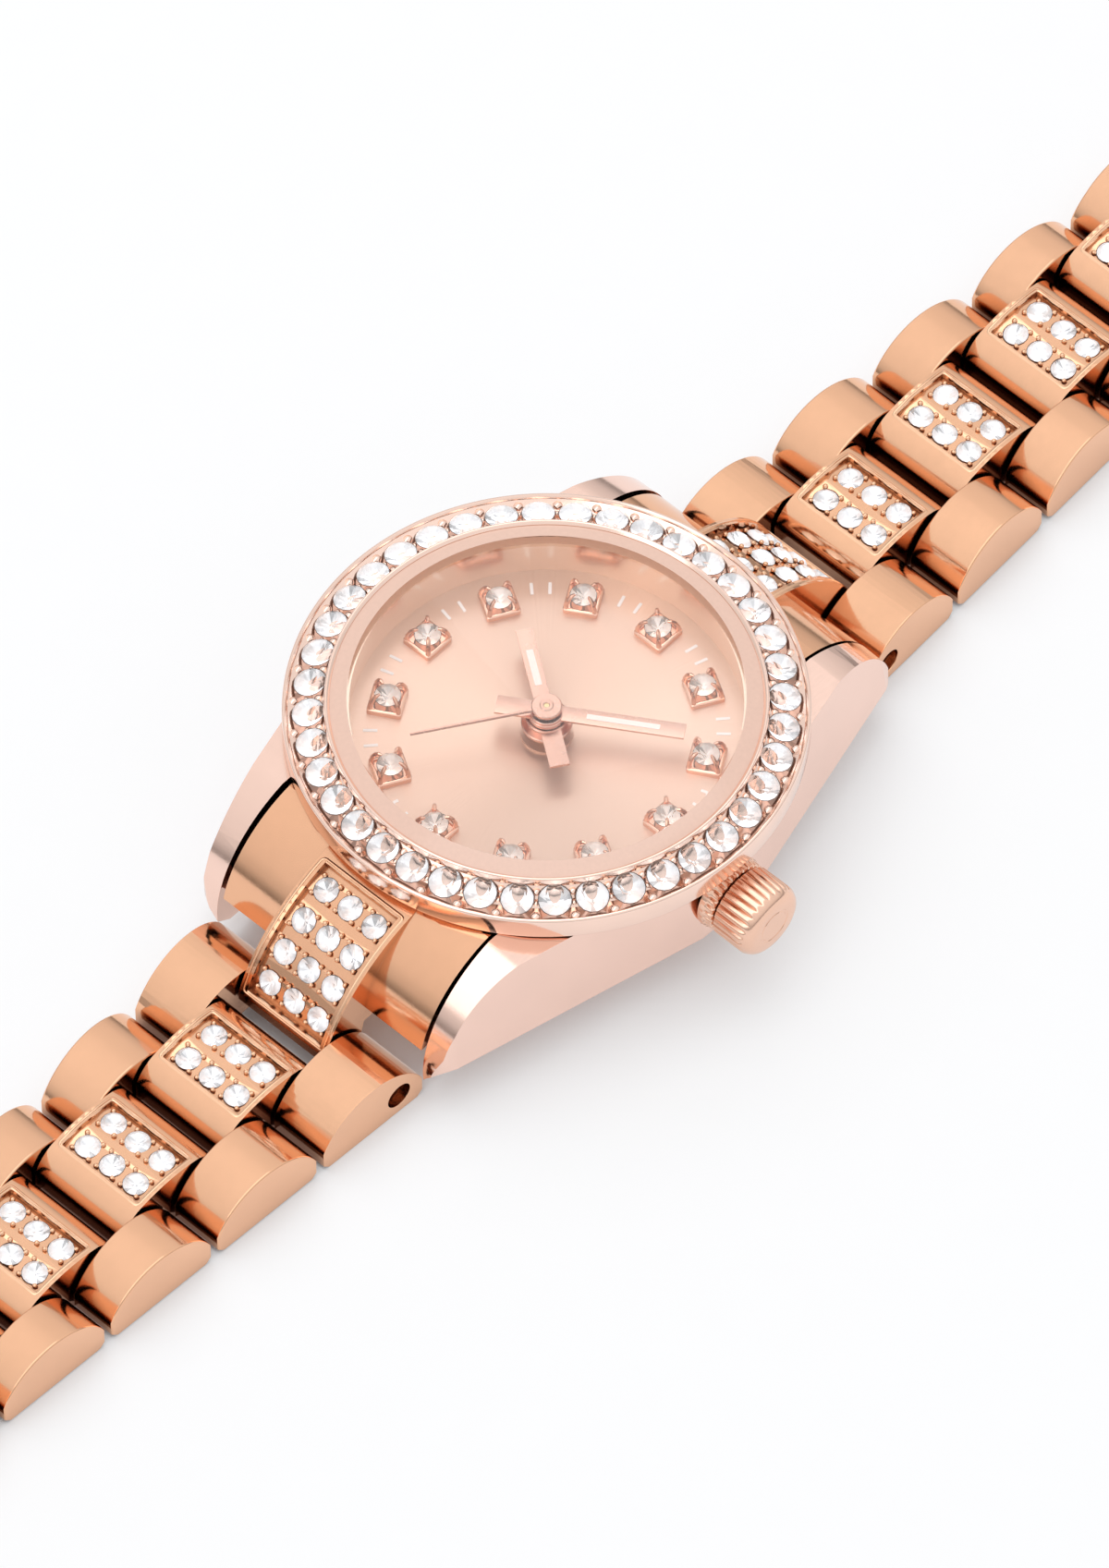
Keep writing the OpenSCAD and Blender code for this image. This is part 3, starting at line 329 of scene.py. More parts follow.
def solid_copy(
    node: str, body: str, finish: Material, edge: float, lowest: bool = False
) -> Object:
    """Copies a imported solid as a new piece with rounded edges.

    Args:
        node: Node that the piece stands for.
        body: The body that it rides on.
        finish: Its material.
        edge: Width of the rounding on sharp edges, in millimetres.
        lowest: True keeps only the solid that reaches lowest.

    Returns:
        The new object.
    """
    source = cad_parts[node]
    mesh = source.data.copy()
    mesh.name = f"{node}_polished"
    work = bmesh.new()
    work.from_mesh(mesh)
    work.transform(source.matrix_world)
    bmesh.ops.remove_doubles(work, verts=work.verts, dist=0.002 * MM)
    if lowest:
        keep, queue = set(), [min(work.verts, key=lambda v: v.co.z)]
        while queue:
            vert = queue.pop()
            keep.add(vert)
            queue += [v for v in (e.other_vert(vert) for e in vert.link_edges) if v not in keep]
        bmesh.ops.delete(work, geom=[v for v in work.verts if v not in keep], context="VERTS")
    bmesh.ops.dissolve_limit(
        work, angle_limit=math.radians(1.0), verts=work.verts, edges=work.edges, delimit={"NORMAL"}
    )
    work.to_mesh(mesh)
    work.free()
    made = show(mesh, body, [finish], repeat(0), CREASE, edge, [node])
    flats = made.modifiers.new("flats", "WEIGHTED_NORMAL")
    flats.weight = 100
    flats.keep_sharp = True
    return made


class Nodes:
    """A node tree that is written a line at a time."""

    def __init__(self, tree: bpy.types.NodeTree) -> None:
        """Empties the tree."""
        self.tree = tree
        tree.nodes.clear()

    def feed(self, node: Node, inputs: dict[int | str, Feed]) -> None:
        """Sets a node's inputs to values, or joins them to other nodes' outputs.

        Args:
            node: The node.
            inputs: Values and outputs, by the input's name or number.
        """
        for key, value in inputs.items():
            if isinstance(value, Socket):
                self.tree.links.new(value, node.inputs[key])
            else:
                node.inputs[key].default_value = value

    def node(self, kind: str, inputs: dict[int | str, Feed] | None = None, **values: object) -> Node:
        """Adds a node.

        Args:
            kind: Its type.
            inputs: Values and outputs for its inputs.
            values: Its attributes.

        Returns:
            The node.
        """
        made = self.tree.nodes.new(kind)
        for key, value in values.items():
            setattr(made, key, value)
        self.feed(made, inputs or {})
        return made

    def value(self, operation: str, *terms: Feed) -> Socket:
        """Gives the result of a math node on values and outputs."""
        return self.node("ShaderNodeMath", dict(enumerate(terms)), operation=operation).outputs[0]

    def mixed(self, share: Socket, a: Socket, b: Socket) -> Socket:
        """Gives the mix of two shaders by a share of the second."""
        return self.node("ShaderNodeMixShader", {0: share, 1: a, 2: b}).outputs[0]

    def step(self, source: Socket, low: float, high: float) -> Socket:
        """Gives a smooth rise from 0 at low to 1 at high."""
        inputs = {0: source, "From Min": low, "From Max": high}
        return self.node("ShaderNodeMapRange", inputs, interpolation_type="SMOOTHSTEP").outputs[0]


class Shader(Nodes):
    """A material's node tree, with a principled shader joined to the output."""

    def __init__(self, name: str) -> None:
        """Makes the material.

        Args:
            name: Its name.
        """
        self.material = bpy.data.materials.new(name)
        self.material.use_nodes = True
        super().__init__(self.material.node_tree)
        self.base = self.node("ShaderNodeBsdfPrincipled")
        self.out = self.node("ShaderNodeOutputMaterial", {0: self.base.outputs[0]})

    def coords(self) -> Socket:
        """Gives the object's own coordinates."""
        return self.node("ShaderNodeTexCoord").outputs["Object"]

    def noise(self, scale: float, detail: float = 2.0, stretch: Point = (1, 1, 1)) -> Socket:
        """Adds noise over the object's own coordinates.

        Args:
            scale: Number of features in a metre.
            detail: Octaves of detail.
            stretch: Scale along each axis.

        Returns:
            The noise, from 0 to 1.
        """
        way = self.node("ShaderNodeMapping", {"Vector": self.coords(), "Scale": stretch}).outputs[0]
        return self.node("ShaderNodeTexNoise", {"Vector": way, "Scale": scale, "Detail": detail}).outputs[0]

    def ramp(self, source: Socket, low: float, high: float) -> Socket:
        """Maps 0..1 to low..high."""
        return self.node("ShaderNodeMapRange", {0: source, "To Min": low, "To Max": high}).outputs[0]

    def tint(self, source: Socket, a: Colour, b: Colour) -> Socket:
        """Mixes two colours by an output."""
        return self.node("ShaderNodeMix", {0: source, 6: (*a, 1), 7: (*b, 1)}, data_type="RGBA").outputs[2]

    def drift(self, source: Socket, colour: Colour, low: float, high: float) -> Socket:
        """Makes a colour drift between two shares of itself."""
        return self.tint(source, shade(colour, low), shade(colour, high))

    def openness(self, reach: float) -> Socket:
        """Tells how open a spot is: 0 where surfaces stand close on all sides.

        Args:
            reach: How far surfaces count, in millimetres.

        Returns:
            The open share.
        """
        return self.node("ShaderNodeAmbientOcclusion", {"Distance": reach * MM}, samples=6).outputs["AO"]

    def painted_gap_shade(self, colour: Socket, reach: float) -> Socket:
        """Darkens a colour where other surfaces stand close: painted shade for the gaps.

        Args:
            colour: The open colour.
            reach: How near the other surfaces are, in millimetres.

        Returns:
            The colour with its painted shade.
        """
        share = self.step(self.openness(reach), 0.08, 0.6)
        # The dark brown is the painted shade that closed-in spots are multiplied by.
        level = self.tint(share, (0.19, 0.11, 0.075), (1.0, 1.0, 1.0))
        inputs = {0: 1.0, 6: colour, 7: level}
        return self.node("ShaderNodeMix", inputs, data_type="RGBA", blend_type="MULTIPLY").outputs[2]

    def bump(self, height: Socket, distance: float, strength: float = 1.0) -> None:
        """Raises the surface.

        Args:
            height: Share of the height.
            distance: Height in millimetres.
            strength: Share of the effect.
        """
        inputs = {"Height": height, "Distance": distance * MM, "Strength": strength}
        self.feed(self.base, {"Normal": self.node("ShaderNodeBump", inputs).outputs[0]})


def shade(colour: Colour, share: float) -> Colour:
    """Makes a colour darker or lighter by a share."""
    return tuple(min(1.0, c * share) for c in colour)


@dataclass(frozen=True)
class Finish:
    """A procedural look. Each kind paints its own shader."""

    name: str
    colour: Colour

    def paint(self, s: Shader) -> None:
        """Feeds the principled shader."""
        s.feed(s.base, {"Base Color": (*self.colour, 1)})

    def material(self) -> Material:
        """Builds the material.

        Returns:
            The material, painted with this finish.
        """
        s = Shader(self.name)
        self.paint(s)
        return s.material


@dataclass(frozen=True)
class PolishedMetal(Finish):
    """Plated metal with a mirror polish, faint wear and a slight drift of tint.

    Gaps within the shade reach, in millimetres, are darkened with painted shade.
    """

    roughness: float = 0.12
    shade_reach: float = 0.0
    spread: float = 0.05
    wear: float = 0.004

    def paint(self, s: Shader) -> None:
        """Lays the tint, the painted shade in the gaps, the haze and the hairlines.

        Args:
            s: The material's node tree.
        """
        tint = s.drift(s.noise(260), self.colour, 1 - self.spread, 1 + self.spread)
        # Painted shade: the tint darkens where other surfaces stand close.
        if self.shade_reach:
            tint = s.painted_gap_shade(tint, self.shade_reach)
        rough = s.ramp(s.noise(1800, 3), self.roughness * 0.75, self.roughness * 1.3)
        s.feed(s.base, {"Base Color": tint, "Metallic": 1.0, "Roughness": rough})
        s.bump(s.noise(9000, 2, (1.0, 0.08, 1.0)), self.wear, 0.35)


@dataclass(frozen=True)
class SatinMetal(Finish):
    """Turned or stamped metal with a fine grain."""

    roughness: float = 0.3

    def paint(self, s: Shader) -> None:
        """Lays the grain.

        Args:
            s: The material's node tree.
        """
        grain = s.noise(6000, 2, (1, 1, 0.1))
        rough = s.ramp(grain, self.roughness * 0.7, self.roughness * 1.3)
        tint = s.drift(grain, self.colour, 0.9, 1.08)
        s.feed(s.base, {"Base Color": tint, "Metallic": 1.0, "Roughness": rough})
        s.bump(grain, 0.004, 0.5)


@dataclass(frozen=True)
class SunrayDial(Finish):
    """Metallic lacquer brushed outward from the centre, between its colour and a dark one."""

    dark: Colour
    rays: float = 70.0

    def paint(self, s: Shader) -> None:
        """Lays colour and grain along rays.

        Args:
            s: The material's node tree.
        """
        split = s.node("ShaderNodeSeparateXYZ", {0: s.coords()}).outputs
        inputs = {"W": s.value("ARCTAN2", split[1], split[0]), "Scale": self.rays, "Detail": 4}
        ray = s.node("ShaderNodeTexNoise", inputs, noise_dimensions="1D").outputs[0]
        tangent = s.node("ShaderNodeTangent", direction_type="RADIAL", axis="Z").outputs[0]
        s.feed(s.base, {
            "Base Color": s.tint(ray, self.dark, self.colour), "Metallic": 0.85,
            "Roughness": s.ramp(ray, 0.34, 0.46), "Anisotropic": 0.75, "Tangent": tangent,
        })
        s.bump(ray, 0.002, 0.4)


@dataclass(frozen=True)
class Gem(Finish):
    """Clear cut stone, with the least cloud inside."""

    colour: Colour = (0.97, 0.98, 1.0)
    index: float = 1.65
    cloud: float = 1500
    tinge: float = 0.97
    haze: float = 0.02

    def paint(self, s: Shader) -> None:
        """Lays the clear body.

        Args:
            s: The material's node tree.
        """
        cloud = s.noise(self.cloud)
        s.feed(s.base, {
            "Base Color": s.drift(cloud, self.colour, self.tinge, 1.0),
            "Roughness": s.ramp(cloud, 0.0, self.haze), "Transmission Weight": 1.0, "IOR": self.index,
        })


@dataclass(frozen=True)
class WindowGlass(Gem):
    """Clear flat glass that lets the lamps through to what lies under it."""

    colour: Colour = (1.0, 1.0, 1.0)
    index: float = 1.5
    cloud: float = 90
    tinge: float = 0.985
    haze: float = 0.01

    def paint(self, s: Shader) -> None:
        """Lays the clear body and opens it to shadow and diffuse rays.

        Args:
            s: The material's node tree.
        """
        super().paint(s)
        path = s.node("ShaderNodeLightPath").outputs
        either = s.value("MAXIMUM", path["Is Shadow Ray"], path["Is Diffuse Ray"])
        clear = s.node("ShaderNodeBsdfTransparent").outputs[0]
        s.feed(s.out, {0: s.mixed(either, s.base.outputs[0], clear)})


@dataclass(frozen=True)
class Foil(Finish):
    """Silver mirror behind a cut stone, with painted light: each facet is painted lighter or darker by the
    way it faces, and a painted glow.
    """

    colour: Colour = (0.97, 0.97, 0.98)
    dark: float = 0.5
    painted_glow: float = 0.42

    def paint(self, s: Shader) -> None:
        """Paints a light or dark tone that goes with the way a facet faces, and a painted glow.

        Args:
            s: The material's node tree.
        """
        # Painted facet light: the facing of each facet picks a bright or dark share of the foil colour, and
        # the same colour glows.
        way = s.node("ShaderNodeNewGeometry").outputs["True Normal"]
        tone = s.node("ShaderNodeTexNoise", {"Vector": way, "Scale": 7.0, "Detail": 1.0}).outputs[0]
        steps = s.node("ShaderNodeValToRGB", {0: tone})
        for stop, at, level in zip(steps.color_ramp.elements, (0.37, 0.47), (self.dark, 1.0)):
            stop.position = at
            stop.color = (*shade(self.colour, level), 1)
        s.feed(s.base, {
            "Base Color": steps.outputs[0], "Metallic": 1.0, "Roughness": s.ramp(tone, 0.3, 0.42),
            "Emission Color": steps.outputs[0], "Emission Strength": self.painted_glow,
        })


@dataclass(frozen=True)
class Moulded(Finish):
    """Moulded plastic, rubber or print."""

    roughness: float = 0.5
    # A glow above 0 is painted light: the surface shines with no lamp.
    glow: float = 0.0

    def paint(self, s: Shader) -> None:
        """Lays the grain.

        Args:
            s: The material's node tree.
        """
        grain = s.noise(4000, 3)
        tint = s.drift(grain, self.colour, 0.93, 1.04)
        s.feed(s.base, {
            "Base Color": tint, "Roughness": s.ramp(grain, self.roughness * 0.85, self.roughness * 1.15),
            "Emission Color": tint, "Emission Strength": self.glow,
        })
        s.bump(grain, 0.003, 0.4)


@dataclass(frozen=True)
class Winding(Finish):
    """Fine enamelled wire wound round X."""

    def paint(self, s: Shader) -> None:
        """Lays the turns.

        Args:
            s: The material's node tree.
        """
        inputs = {"Vector": s.coords(), "Scale": 6000}
        wave = s.node("ShaderNodeTexWave", inputs, bands_direction="X").outputs[0]
        s.feed(s.base, {
            "Base Color": s.drift(wave, self.colour, 0.5, 1.0), "Metallic": 0.6,
            "Roughness": s.ramp(wave, 0.3, 0.5),
        })
        s.bump(wave, 0.02)


class Finishes:
    """Every finish of the watch, made once."""

    def __init__(self) -> None:
        """Builds the materials."""
        self.case = PolishedMetal("case rose gold", (0.91, 0.645, 0.545), 0.13).material()
        # The last number of the bracelet, end link and tray finishes is the reach of their painted gap
        # shade.
        self.bracelet = PolishedMetal("bracelet rose gold", (0.88, 0.505, 0.315), 0.12, 2.6).material()
        self.end_link = PolishedMetal("end link rose gold", (0.84, 0.47, 0.29), 0.12, 2.6).material()
        self.bezel = PolishedMetal("bezel rose gold", (0.95, 0.70, 0.59), 0.13).material()
        self.crown = PolishedMetal("crown rose gold", (0.88, 0.57, 0.43), 0.18).material()
        # The crown's neck is painted near-black: painted shade for the recess between ring and cap.
        self.groove = SatinMetal("crown groove painted shade", (0.16, 0.08, 0.06), 0.4).material()
        self.tray = PolishedMetal("tray rose gold", (0.88, 0.54, 0.35), 0.22, 0.9).material()
        self.inner = PolishedMetal("dial rose gold", (0.90, 0.53, 0.39), 0.16).material()
        self.hand = PolishedMetal("hand rose gold", (0.78, 0.48, 0.385), 0.25).material()
        self.rehaut = PolishedMetal("dial ring rose gold", (0.92, 0.72, 0.58), 0.2).material()
        self.dial = SunrayDial("sunray dial", (0.85, 0.60, 0.48), (0.77, 0.52, 0.405)).material()
        # The stones' foils carry painted facet light and glow; the stone rim is a dark painted shade round
        # each girdle.
        gem, foil = Gem("cut stone").material(), Foil("stone foil").material()
        self.stone = [gem, foil, SatinMetal("stone rim painted shade", (0.30, 0.24, 0.22), 0.4).material()]
        warm = Foil("hour stone foil", (0.96, 0.84, 0.77), 0.36).material()
        self.hour_stone = [gem, warm, self.stone[2]]
        self.glass = WindowGlass("crystal glass").material()
        # The crystal's bevel is painted light: a dim base with a glow, so that it shows pale from inside the
        # glass too.
        self.crystal_edge = Moulded("crystal edge painted glow", (0.31, 0.21, 0.17), 0.12, 1.35).material()
        self.print = Moulded("white print", (0.90, 0.80, 0.765)).material()
        self.strip = Moulded("hand strip", (0.84, 0.68, 0.62)).material()
        self.steel = SatinMetal("turned steel", (0.62, 0.61, 0.61), 0.28).material()
        self.brass = SatinMetal("satin brass", (0.80, 0.66, 0.38)).material()
        self.nylon = Moulded("white nylon", (0.82, 0.82, 0.80)).material()
        self.rubber = Moulded("black rubber", (0.03, 0.03, 0.03), 0.7).material()
        self.wire = Winding("enamelled wire", (0.62, 0.27, 0.12)).material()


@dataclass(frozen=True)
class Brilliant:
    """A round cut stone: a table, two rows of crown facets, a girdle and a pavilion.

    Every measure is a share of the stone's radius.
    """

    table: float = 0.56
    star: float = 0.80
    crown: float = 0.34
    girdle: float = 0.06
    depth: float = 0.66
    rim: float = 0.88
    sides: int = 8

    def add_to(self, shape: Shape, r: float, place: Matrix) -> None:
        """Adds one stone with its table at the place's origin: slot 0 front, 1 back, 2 dark rim of painted
        shade.

        Args:
            shape: Shape to add to.
            r: Radius of the stone.
            place: Where its table's middle lies, +Z outward.
        """
        n = self.sides
        belt_z = -self.crown - self.girdle
        points = (
            around(self.table * r, 0, n)
            + around(self.star * r, -self.crown * 0.46 * r, n, 0.5)
            + around(r, -self.crown * r, 2 * n)
            + around(r, belt_z * r, 2 * n)
            + around(self.rim * r, (belt_z - self.depth * (1 - self.rim)) * r, 2 * n)
            + [(0.0, 0.0, (belt_z - self.depth) * r)]
        )
        t0, s0, g0, l0, b0, c0 = 0, n, 2 * n, 4 * n, 6 * n, 8 * n
        front: list[tuple[int, ...]] = [tuple(range(n))]
        back: list[tuple[int, ...]] = []
        dark: list[tuple[int, ...]] = []
        for i in range(n):
            j, h = (i + 1) % n, (i - 1) % n
            front.append((t0 + i, s0 + i, t0 + j))
            front.append((t0 + i, s0 + h, g0 + 2 * i, s0 + i))
            front.append((s0 + i, g0 + 2 * i, g0 + 2 * i + 1))
            front.append((s0 + i, g0 + 2 * i + 1, g0 + (2 * i + 2) % (2 * n)))
        # The girdle band and the skirt under it take the dark rim: painted shade for the stone's outline.
        for i in range(2 * n):
            k = (i + 1) % (2 * n)
            dark.append((g0 + i, l0 + i, l0 + k, g0 + k))
            dark.append((l0 + i, b0 + i, b0 + k, l0 + k))
            back.append((b0 + k, b0 + i, c0))
        start = len(shape.points)
        shape.add(points, front, place)
        for slot, faces in ((1, back), (2, dark)):
            shape.faces += [tuple(start + i for i in f) for f in faces]
            shape.slots += [slot] * len(faces)


LINK_CUT = Brilliant(crown=0.4, depth=0.5)
LINK_STONE_R = 0.78
LINK_STEP_X = 1.86


@dataclass
class HeadOutline:
    """The watch head: bezel, case, crystal and crown."""

    finishes: Finishes
    stones: int = 40
    stone_ring: float = 13.6
    stone_r: float = 0.98
    stone_lift: float = 0.44
    channel_tilt: float = 14.0
    wall_h: float = 1.5
    grip_r: float = 12.75
    in_r: float = 12.3
    flat_r: float = 11.3
    lug_inner: float = 8.0
    lug_arc: tuple[float, float, float] = (11.6, 2.4, 7.3)
    lug_slope: float = 0.075
    body_r: float = 13.0
    case_top: float = 9.5
    flutes: int = 28
    groove: float = 0.14
    cut: Brilliant = Brilliant()

    def build_bezel(self) -> None:
        """Turns the bezel with its stone channel and sets the beads between the stones."""
        low, high = span("bezel")
        base, top, out_r = low.z, high.z, high.x
        wall_z, shelf_z = base + self.wall_h, base + 1.35
        profile = [
            (self.grip_r, base),
            *arc((out_r - 0.15, base + 0.15), 0.15, -90, 0, 4),
            *arc((out_r - 0.16, wall_z - 0.11), 0.16, 0, 90, 5),
            (out_r - 0.27, wall_z - 0.02), (out_r - 0.33, wall_z - 0.14),
            (14.3, wall_z - 0.33), (14.0, wall_z - 0.45), (13.6, wall_z - 0.62), (13.2, wall_z - 0.26),
            (12.9, wall_z + 0.02), (12.64, wall_z + 0.24), (12.60, top - 0.08),
            *arc((12.5, top - 0.1), 0.1, 40, 140, 4),
            (self.in_r, top - 0.16), (self.in_r, shelf_z), (self.grip_r, shelf_z),
        ]
        shape = Shape().lathe(profile, 240, closed=True)
        beads = ((14.36, wall_z - 0.34, 0.3), (12.9, wall_z + 0.02, 0.26), (13.62, wall_z - 0.1, 0.17))
        for i in range(self.stones):
            a = math.radians(90 + 360 * (i + 0.5) / self.stones)
            for r, z, size in beads:
                shape.ball((r * math.cos(a), r * math.sin(a), z), size, 0.7)
        looks = [self.finishes.bezel]
        shape.piece("bezel_dressed", "case", looks, "rose_gold_case", 35, replaces=["bezel"])

    def build_crystal(self) -> None:
        """Grinds the crystal with its bevelled edge, a hair above its seat."""
        low, high = span("crystal")
        r, bottom = high.x, low.z + 0.02
        profile = [
            (0.02, bottom), (r - 0.05, bottom), (r - 0.02, bottom + 0.03), (r - 0.02, high.z - 0.3),
            (self.flat_r + 0.02, high.z - 0.01), (self.flat_r - 0.04, high.z), (0.02, high.z),
        ]
        shape = Shape().lathe(profile, 192)
        # The bevel's faces take the glowing edge finish: painted light.
        for i, face in enumerate(shape.faces):
            if min(shape.points[k].xy.length for k in face) > self.flat_r:
                shape.slots[i] = 1
        looks = [self.finishes.glass, self.finishes.crystal_edge]
        shape.piece("crystal_bevelled", "case", looks, "crystal", 20, replaces=["crystal"])

    def build_stones(self) -> None:
        """Cuts the bezel's stones."""
        shape = Shape()
        rng = random.Random(4)
        at = Matrix.Translation((self.stone_ring, 0, span("bezel")[0].z + self.wall_h + self.stone_lift))
        for i in range(self.stones):
            place = turned(90 + 360 * i / self.stones) @ at @ turned(self.channel_tilt, "Y")
            spin = Matrix.Rotation(rng.uniform(0, math.pi / 4), 4, "Z")
            self.cut.add_to(shape, self.stone_r, place @ spin)
        shape.piece("bezel_stones_cut", "case", self.finishes.stone, "stones", 0, replaces=["bezel_stones"])

    def flute_loop(self, x: float, r: float, depth: float, z: float) -> list[Point]:
        """Gives the crown's outline at one station.

        Args:
            x: The station's distance from the dial's middle.
            r: Radius over the flutes.
            depth: Depth of the flutes.
            z: Height of the crown's axis.

        Returns:
            The outline's points.
        """
        out = []
        for i, t in product(range(self.flutes), (0.0, 0.05, 0.13, 0.25, 0.4, 0.6, 0.75, 0.87, 0.95)):
            a = 2 * math.pi * (i + t) / self.flutes
            reach = r - depth * abs(2 * t - 1) ** 2.5
            out.append((x, reach * math.cos(a), z + reach * math.sin(a)))
        return out

    def build_crown(self) -> None:
        """Mills the fluted crown and its inner ring, from stations of distance, radius and flute depth."""
        low, high = span("crown")
        z, r = (low.z + high.z) / 2, (high.z - low.z) / 2
        start, face = low.x, high.x
        end = start + 0.95
        knob = end + 0.14
        ring = (
            (start, 1.02, 0), (start + 0.35, 1.02, 0), (start + 0.45, 0.99, 1), (end - 0.07, 0.985, 1),
            (end, 0.94, 0.6), (end + 0.01, 0.76, 0),
        )
        neck = ((end + 0.01, 0.75, 0), (knob - 0.01, 0.75, 0))
        cap = (
            (knob - 0.01, 0.76, 0), (knob, 0.96, 0.8), (knob + 0.07, 1.0, 1), (face - 0.75, 1.0, 1),
            (face - 0.6, 0.99, 0.8), (face - 0.48, 0.972, 0.4), (face - 0.4, 0.955, 0),
            (face - 0.26, 0.92, 0), (face - 0.14, 0.87, 0), (face - 0.05, 0.80, 0), (face, 0.72, 0),
            (face, 0.50, 0), (face - 0.03, 0.485, 0), (face - 0.03, 0.43, 0), (face, 0.415, 0),
        )
        shape = Shape()
        # The neck takes the dark groove finish, painted shade in the recess.
        for slot, stations in ((0, ring), (1, neck), (0, cap)):
            loops = [self.flute_loop(x, r * scale, self.groove * share, z) for x, scale, share in stations]
            shape.loft(loops, slot=slot)
        looks = [self.finishes.crown, self.finishes.groove]
        shape.piece("crown_fluted", "crown", looks, "rose_gold_case", 40, replaces=["crown"])

    def build_case(self) -> None:
        """Copies the case middle, slopes its lug tops outward and rounds its edges."""
        made = solid_copy("case_middle", "case", self.finishes.case, 0.12)
        arc_y, arc_z, arc_r = self.lug_arc
        to_world = made.matrix_world
        back = to_world.inverted()
        for vert in made.data.vertices:
            at = (to_world @ vert.co) / MM
            reach = math.hypot(abs(at.y) - arc_y, at.z - arc_z)
            on_arc = abs(reach - arc_r) < 0.02 and abs(at.y) > arc_y and at.z > arc_z
            if on_arc or at.z > self.case_top - 0.02:
                start = max(self.lug_inner, math.sqrt(max(0.0, self.body_r**2 - at.y**2)))
                at.z -= self.lug_slope * max(0.0, abs(at.x) - start)
                vert.co = back @ (at * MM)

    def build(self) -> None:
        """Builds every piece of the head that isn't carried over."""
        self.build_case()
        self.build_bezel()
        self.build_crystal()
        self.build_stones()
        self.build_crown()


@dataclass
class DialFurniture:
    """What stands on the dial: hour settings, stones and minute marks."""

    finishes: Finishes
    ring: float = 9.14
    half: float = 1.0
    corner: float = 0.14
    stone_r: float = 0.78
    stone_sink: float = 0.14
    mark_in: float = 9.45
    mark_out: float = 10.25
    mark_half: float = 0.09
    mark_h: float = 0.02
    cut: Brilliant = Brilliant(table=0.5, crown=0.42, depth=0.6)

    def build_settings(self) -> None:
        """Builds the square plates, their claws and the stones in them."""
        plates, stones = Shape(), Shape()
        low, high = span("hour_settings")
        rise = high.z - low.z
        for hour in range(12):
            place = turned(90 - hour * 30) @ Matrix.Translation((self.ring, 0, low.z))
            loops = []
            for inset, z in ((0, 0), (0, 0.3), (0.06, 0.36), (0.2, 0.36), (0.24, 0.22)):
                loop = rounded_loop(self.half - inset, self.half - inset, self.corner)
                loops.append([(x, y, z) for x, y in loop])
            plates.loft(loops, place)
            for q in range(4):
                plates.loft(self.claw(rise), place @ turned(45 + 90 * q))
            above = Matrix.Translation((0, 0, rise - self.stone_sink))
            self.cut.add_to(stones, self.stone_r, place @ above)
        plates.piece(
            "hour_settings_clawed", "case", [self.finishes.inner], "rose_gold_dial_parts", 40,
            replaces=["hour_settings"],
        )
        stones.piece(
            "hour_stones_cut", "case", self.finishes.hour_stone, "stones", 0, replaces=["hour_stones"]
        )

    def claw(self, rise: float) -> list[list[Point]]:
        """Gives the loops of one claw, which leans over the stone along -X.

        Args:
            rise: Height of the claws above the dial.

        Returns:
            Loops from foot to tip.
        """
        lean = 0.6
        reach = self.half * math.sqrt(2) - 0.26
        stations = (
            (0.0, 0.1, 0.15), (0.02, rise * 0.55, 0.14), (0.2, rise * 0.85, 0.13), (0.42, rise * 0.99, 0.12),
            (lean, rise, 0.07),
        )
        loops = []
        for over, z, r in stations:
            tilt = math.radians(90 * over / lean)
            loops.append([
                (reach - over + u * math.cos(tilt), v, z + u * math.sin(tilt)) for u, v, _ in around(r, 0, 8)
            ])
        return loops

    def build_marks(self) -> None:
        """Prints the two short minute strokes between each pair of hours."""
        shape = Shape()
        z = span("hour_settings")[0].z
        loops = bar(self.mark_in, self.mark_out, self.mark_half, z, z + self.mark_h)
        for minute in range(60):
            if minute % 5 in (2, 3):
                shape.loft(loops, turned(90 - minute * 6))
        shape.piece("minute_marks", "case", [self.finishes.print], "dial")

    def build(self) -> None:
        """Builds what stands on the dial."""
        self.build_settings()
        self.build_marks()


@dataclass(frozen=True)
class Baton:
    """A square-cut hand with a ridge along its middle, a hub and a white strip in its slot.

    Measures are in millimetres; the hubs are radius, lowest and highest point above the underside,
    and the strip is its start and end as shares of the length, and half its width.
    """

    name: str
    body: str
    angle: float
    low: float
    length: float
    tail: float
    width: float
    bore: float
    hubs: tuple[Point, Point]
    strip: Point
    thick: float = 0.18

    def build(self, metal: Material) -> None:
        """Builds the hand.

        Args:
            metal: Its finish.
        """
        place = turned(90 - self.angle) @ Matrix.Translation((0, 0, self.low))
        t = self.thick
        shape = Shape()
        for start, end, half in ((-self.tail, -0.5, self.width * 0.6), (-0.6, self.length, self.width / 2)):
            shape.loft([
                [(x, -half, 0), (x, half, 0), (x, half, t * 0.8), (x, 0, t), (x, -half, t * 0.8)]
                for x in (start, end)
            ], place)
        for r, low, high in self.hubs:
            add_hub(shape, r, self.bore, self.low + low, self.low + high)
        shape.piece(
            f"{self.name}_baton", self.body, [metal], "rose_gold_dial_parts", 25, replaces=[self.name]
        )

    def build_strip(self, white: Material) -> None:
        """Builds the white strip a hair above the hand.

        Args:
            white: Finish of the strip.
        """
        near, far, half = self.strip
        top = self.low + self.thick + 0.005
        loops = bar(self.length * near, self.length * far, half, top - 0.06, top)
        Shape().loft(loops, turned(90 - self.angle)).piece(
            f"{self.name}_strip", self.body, [white], "rose_gold_dial_parts"
        )


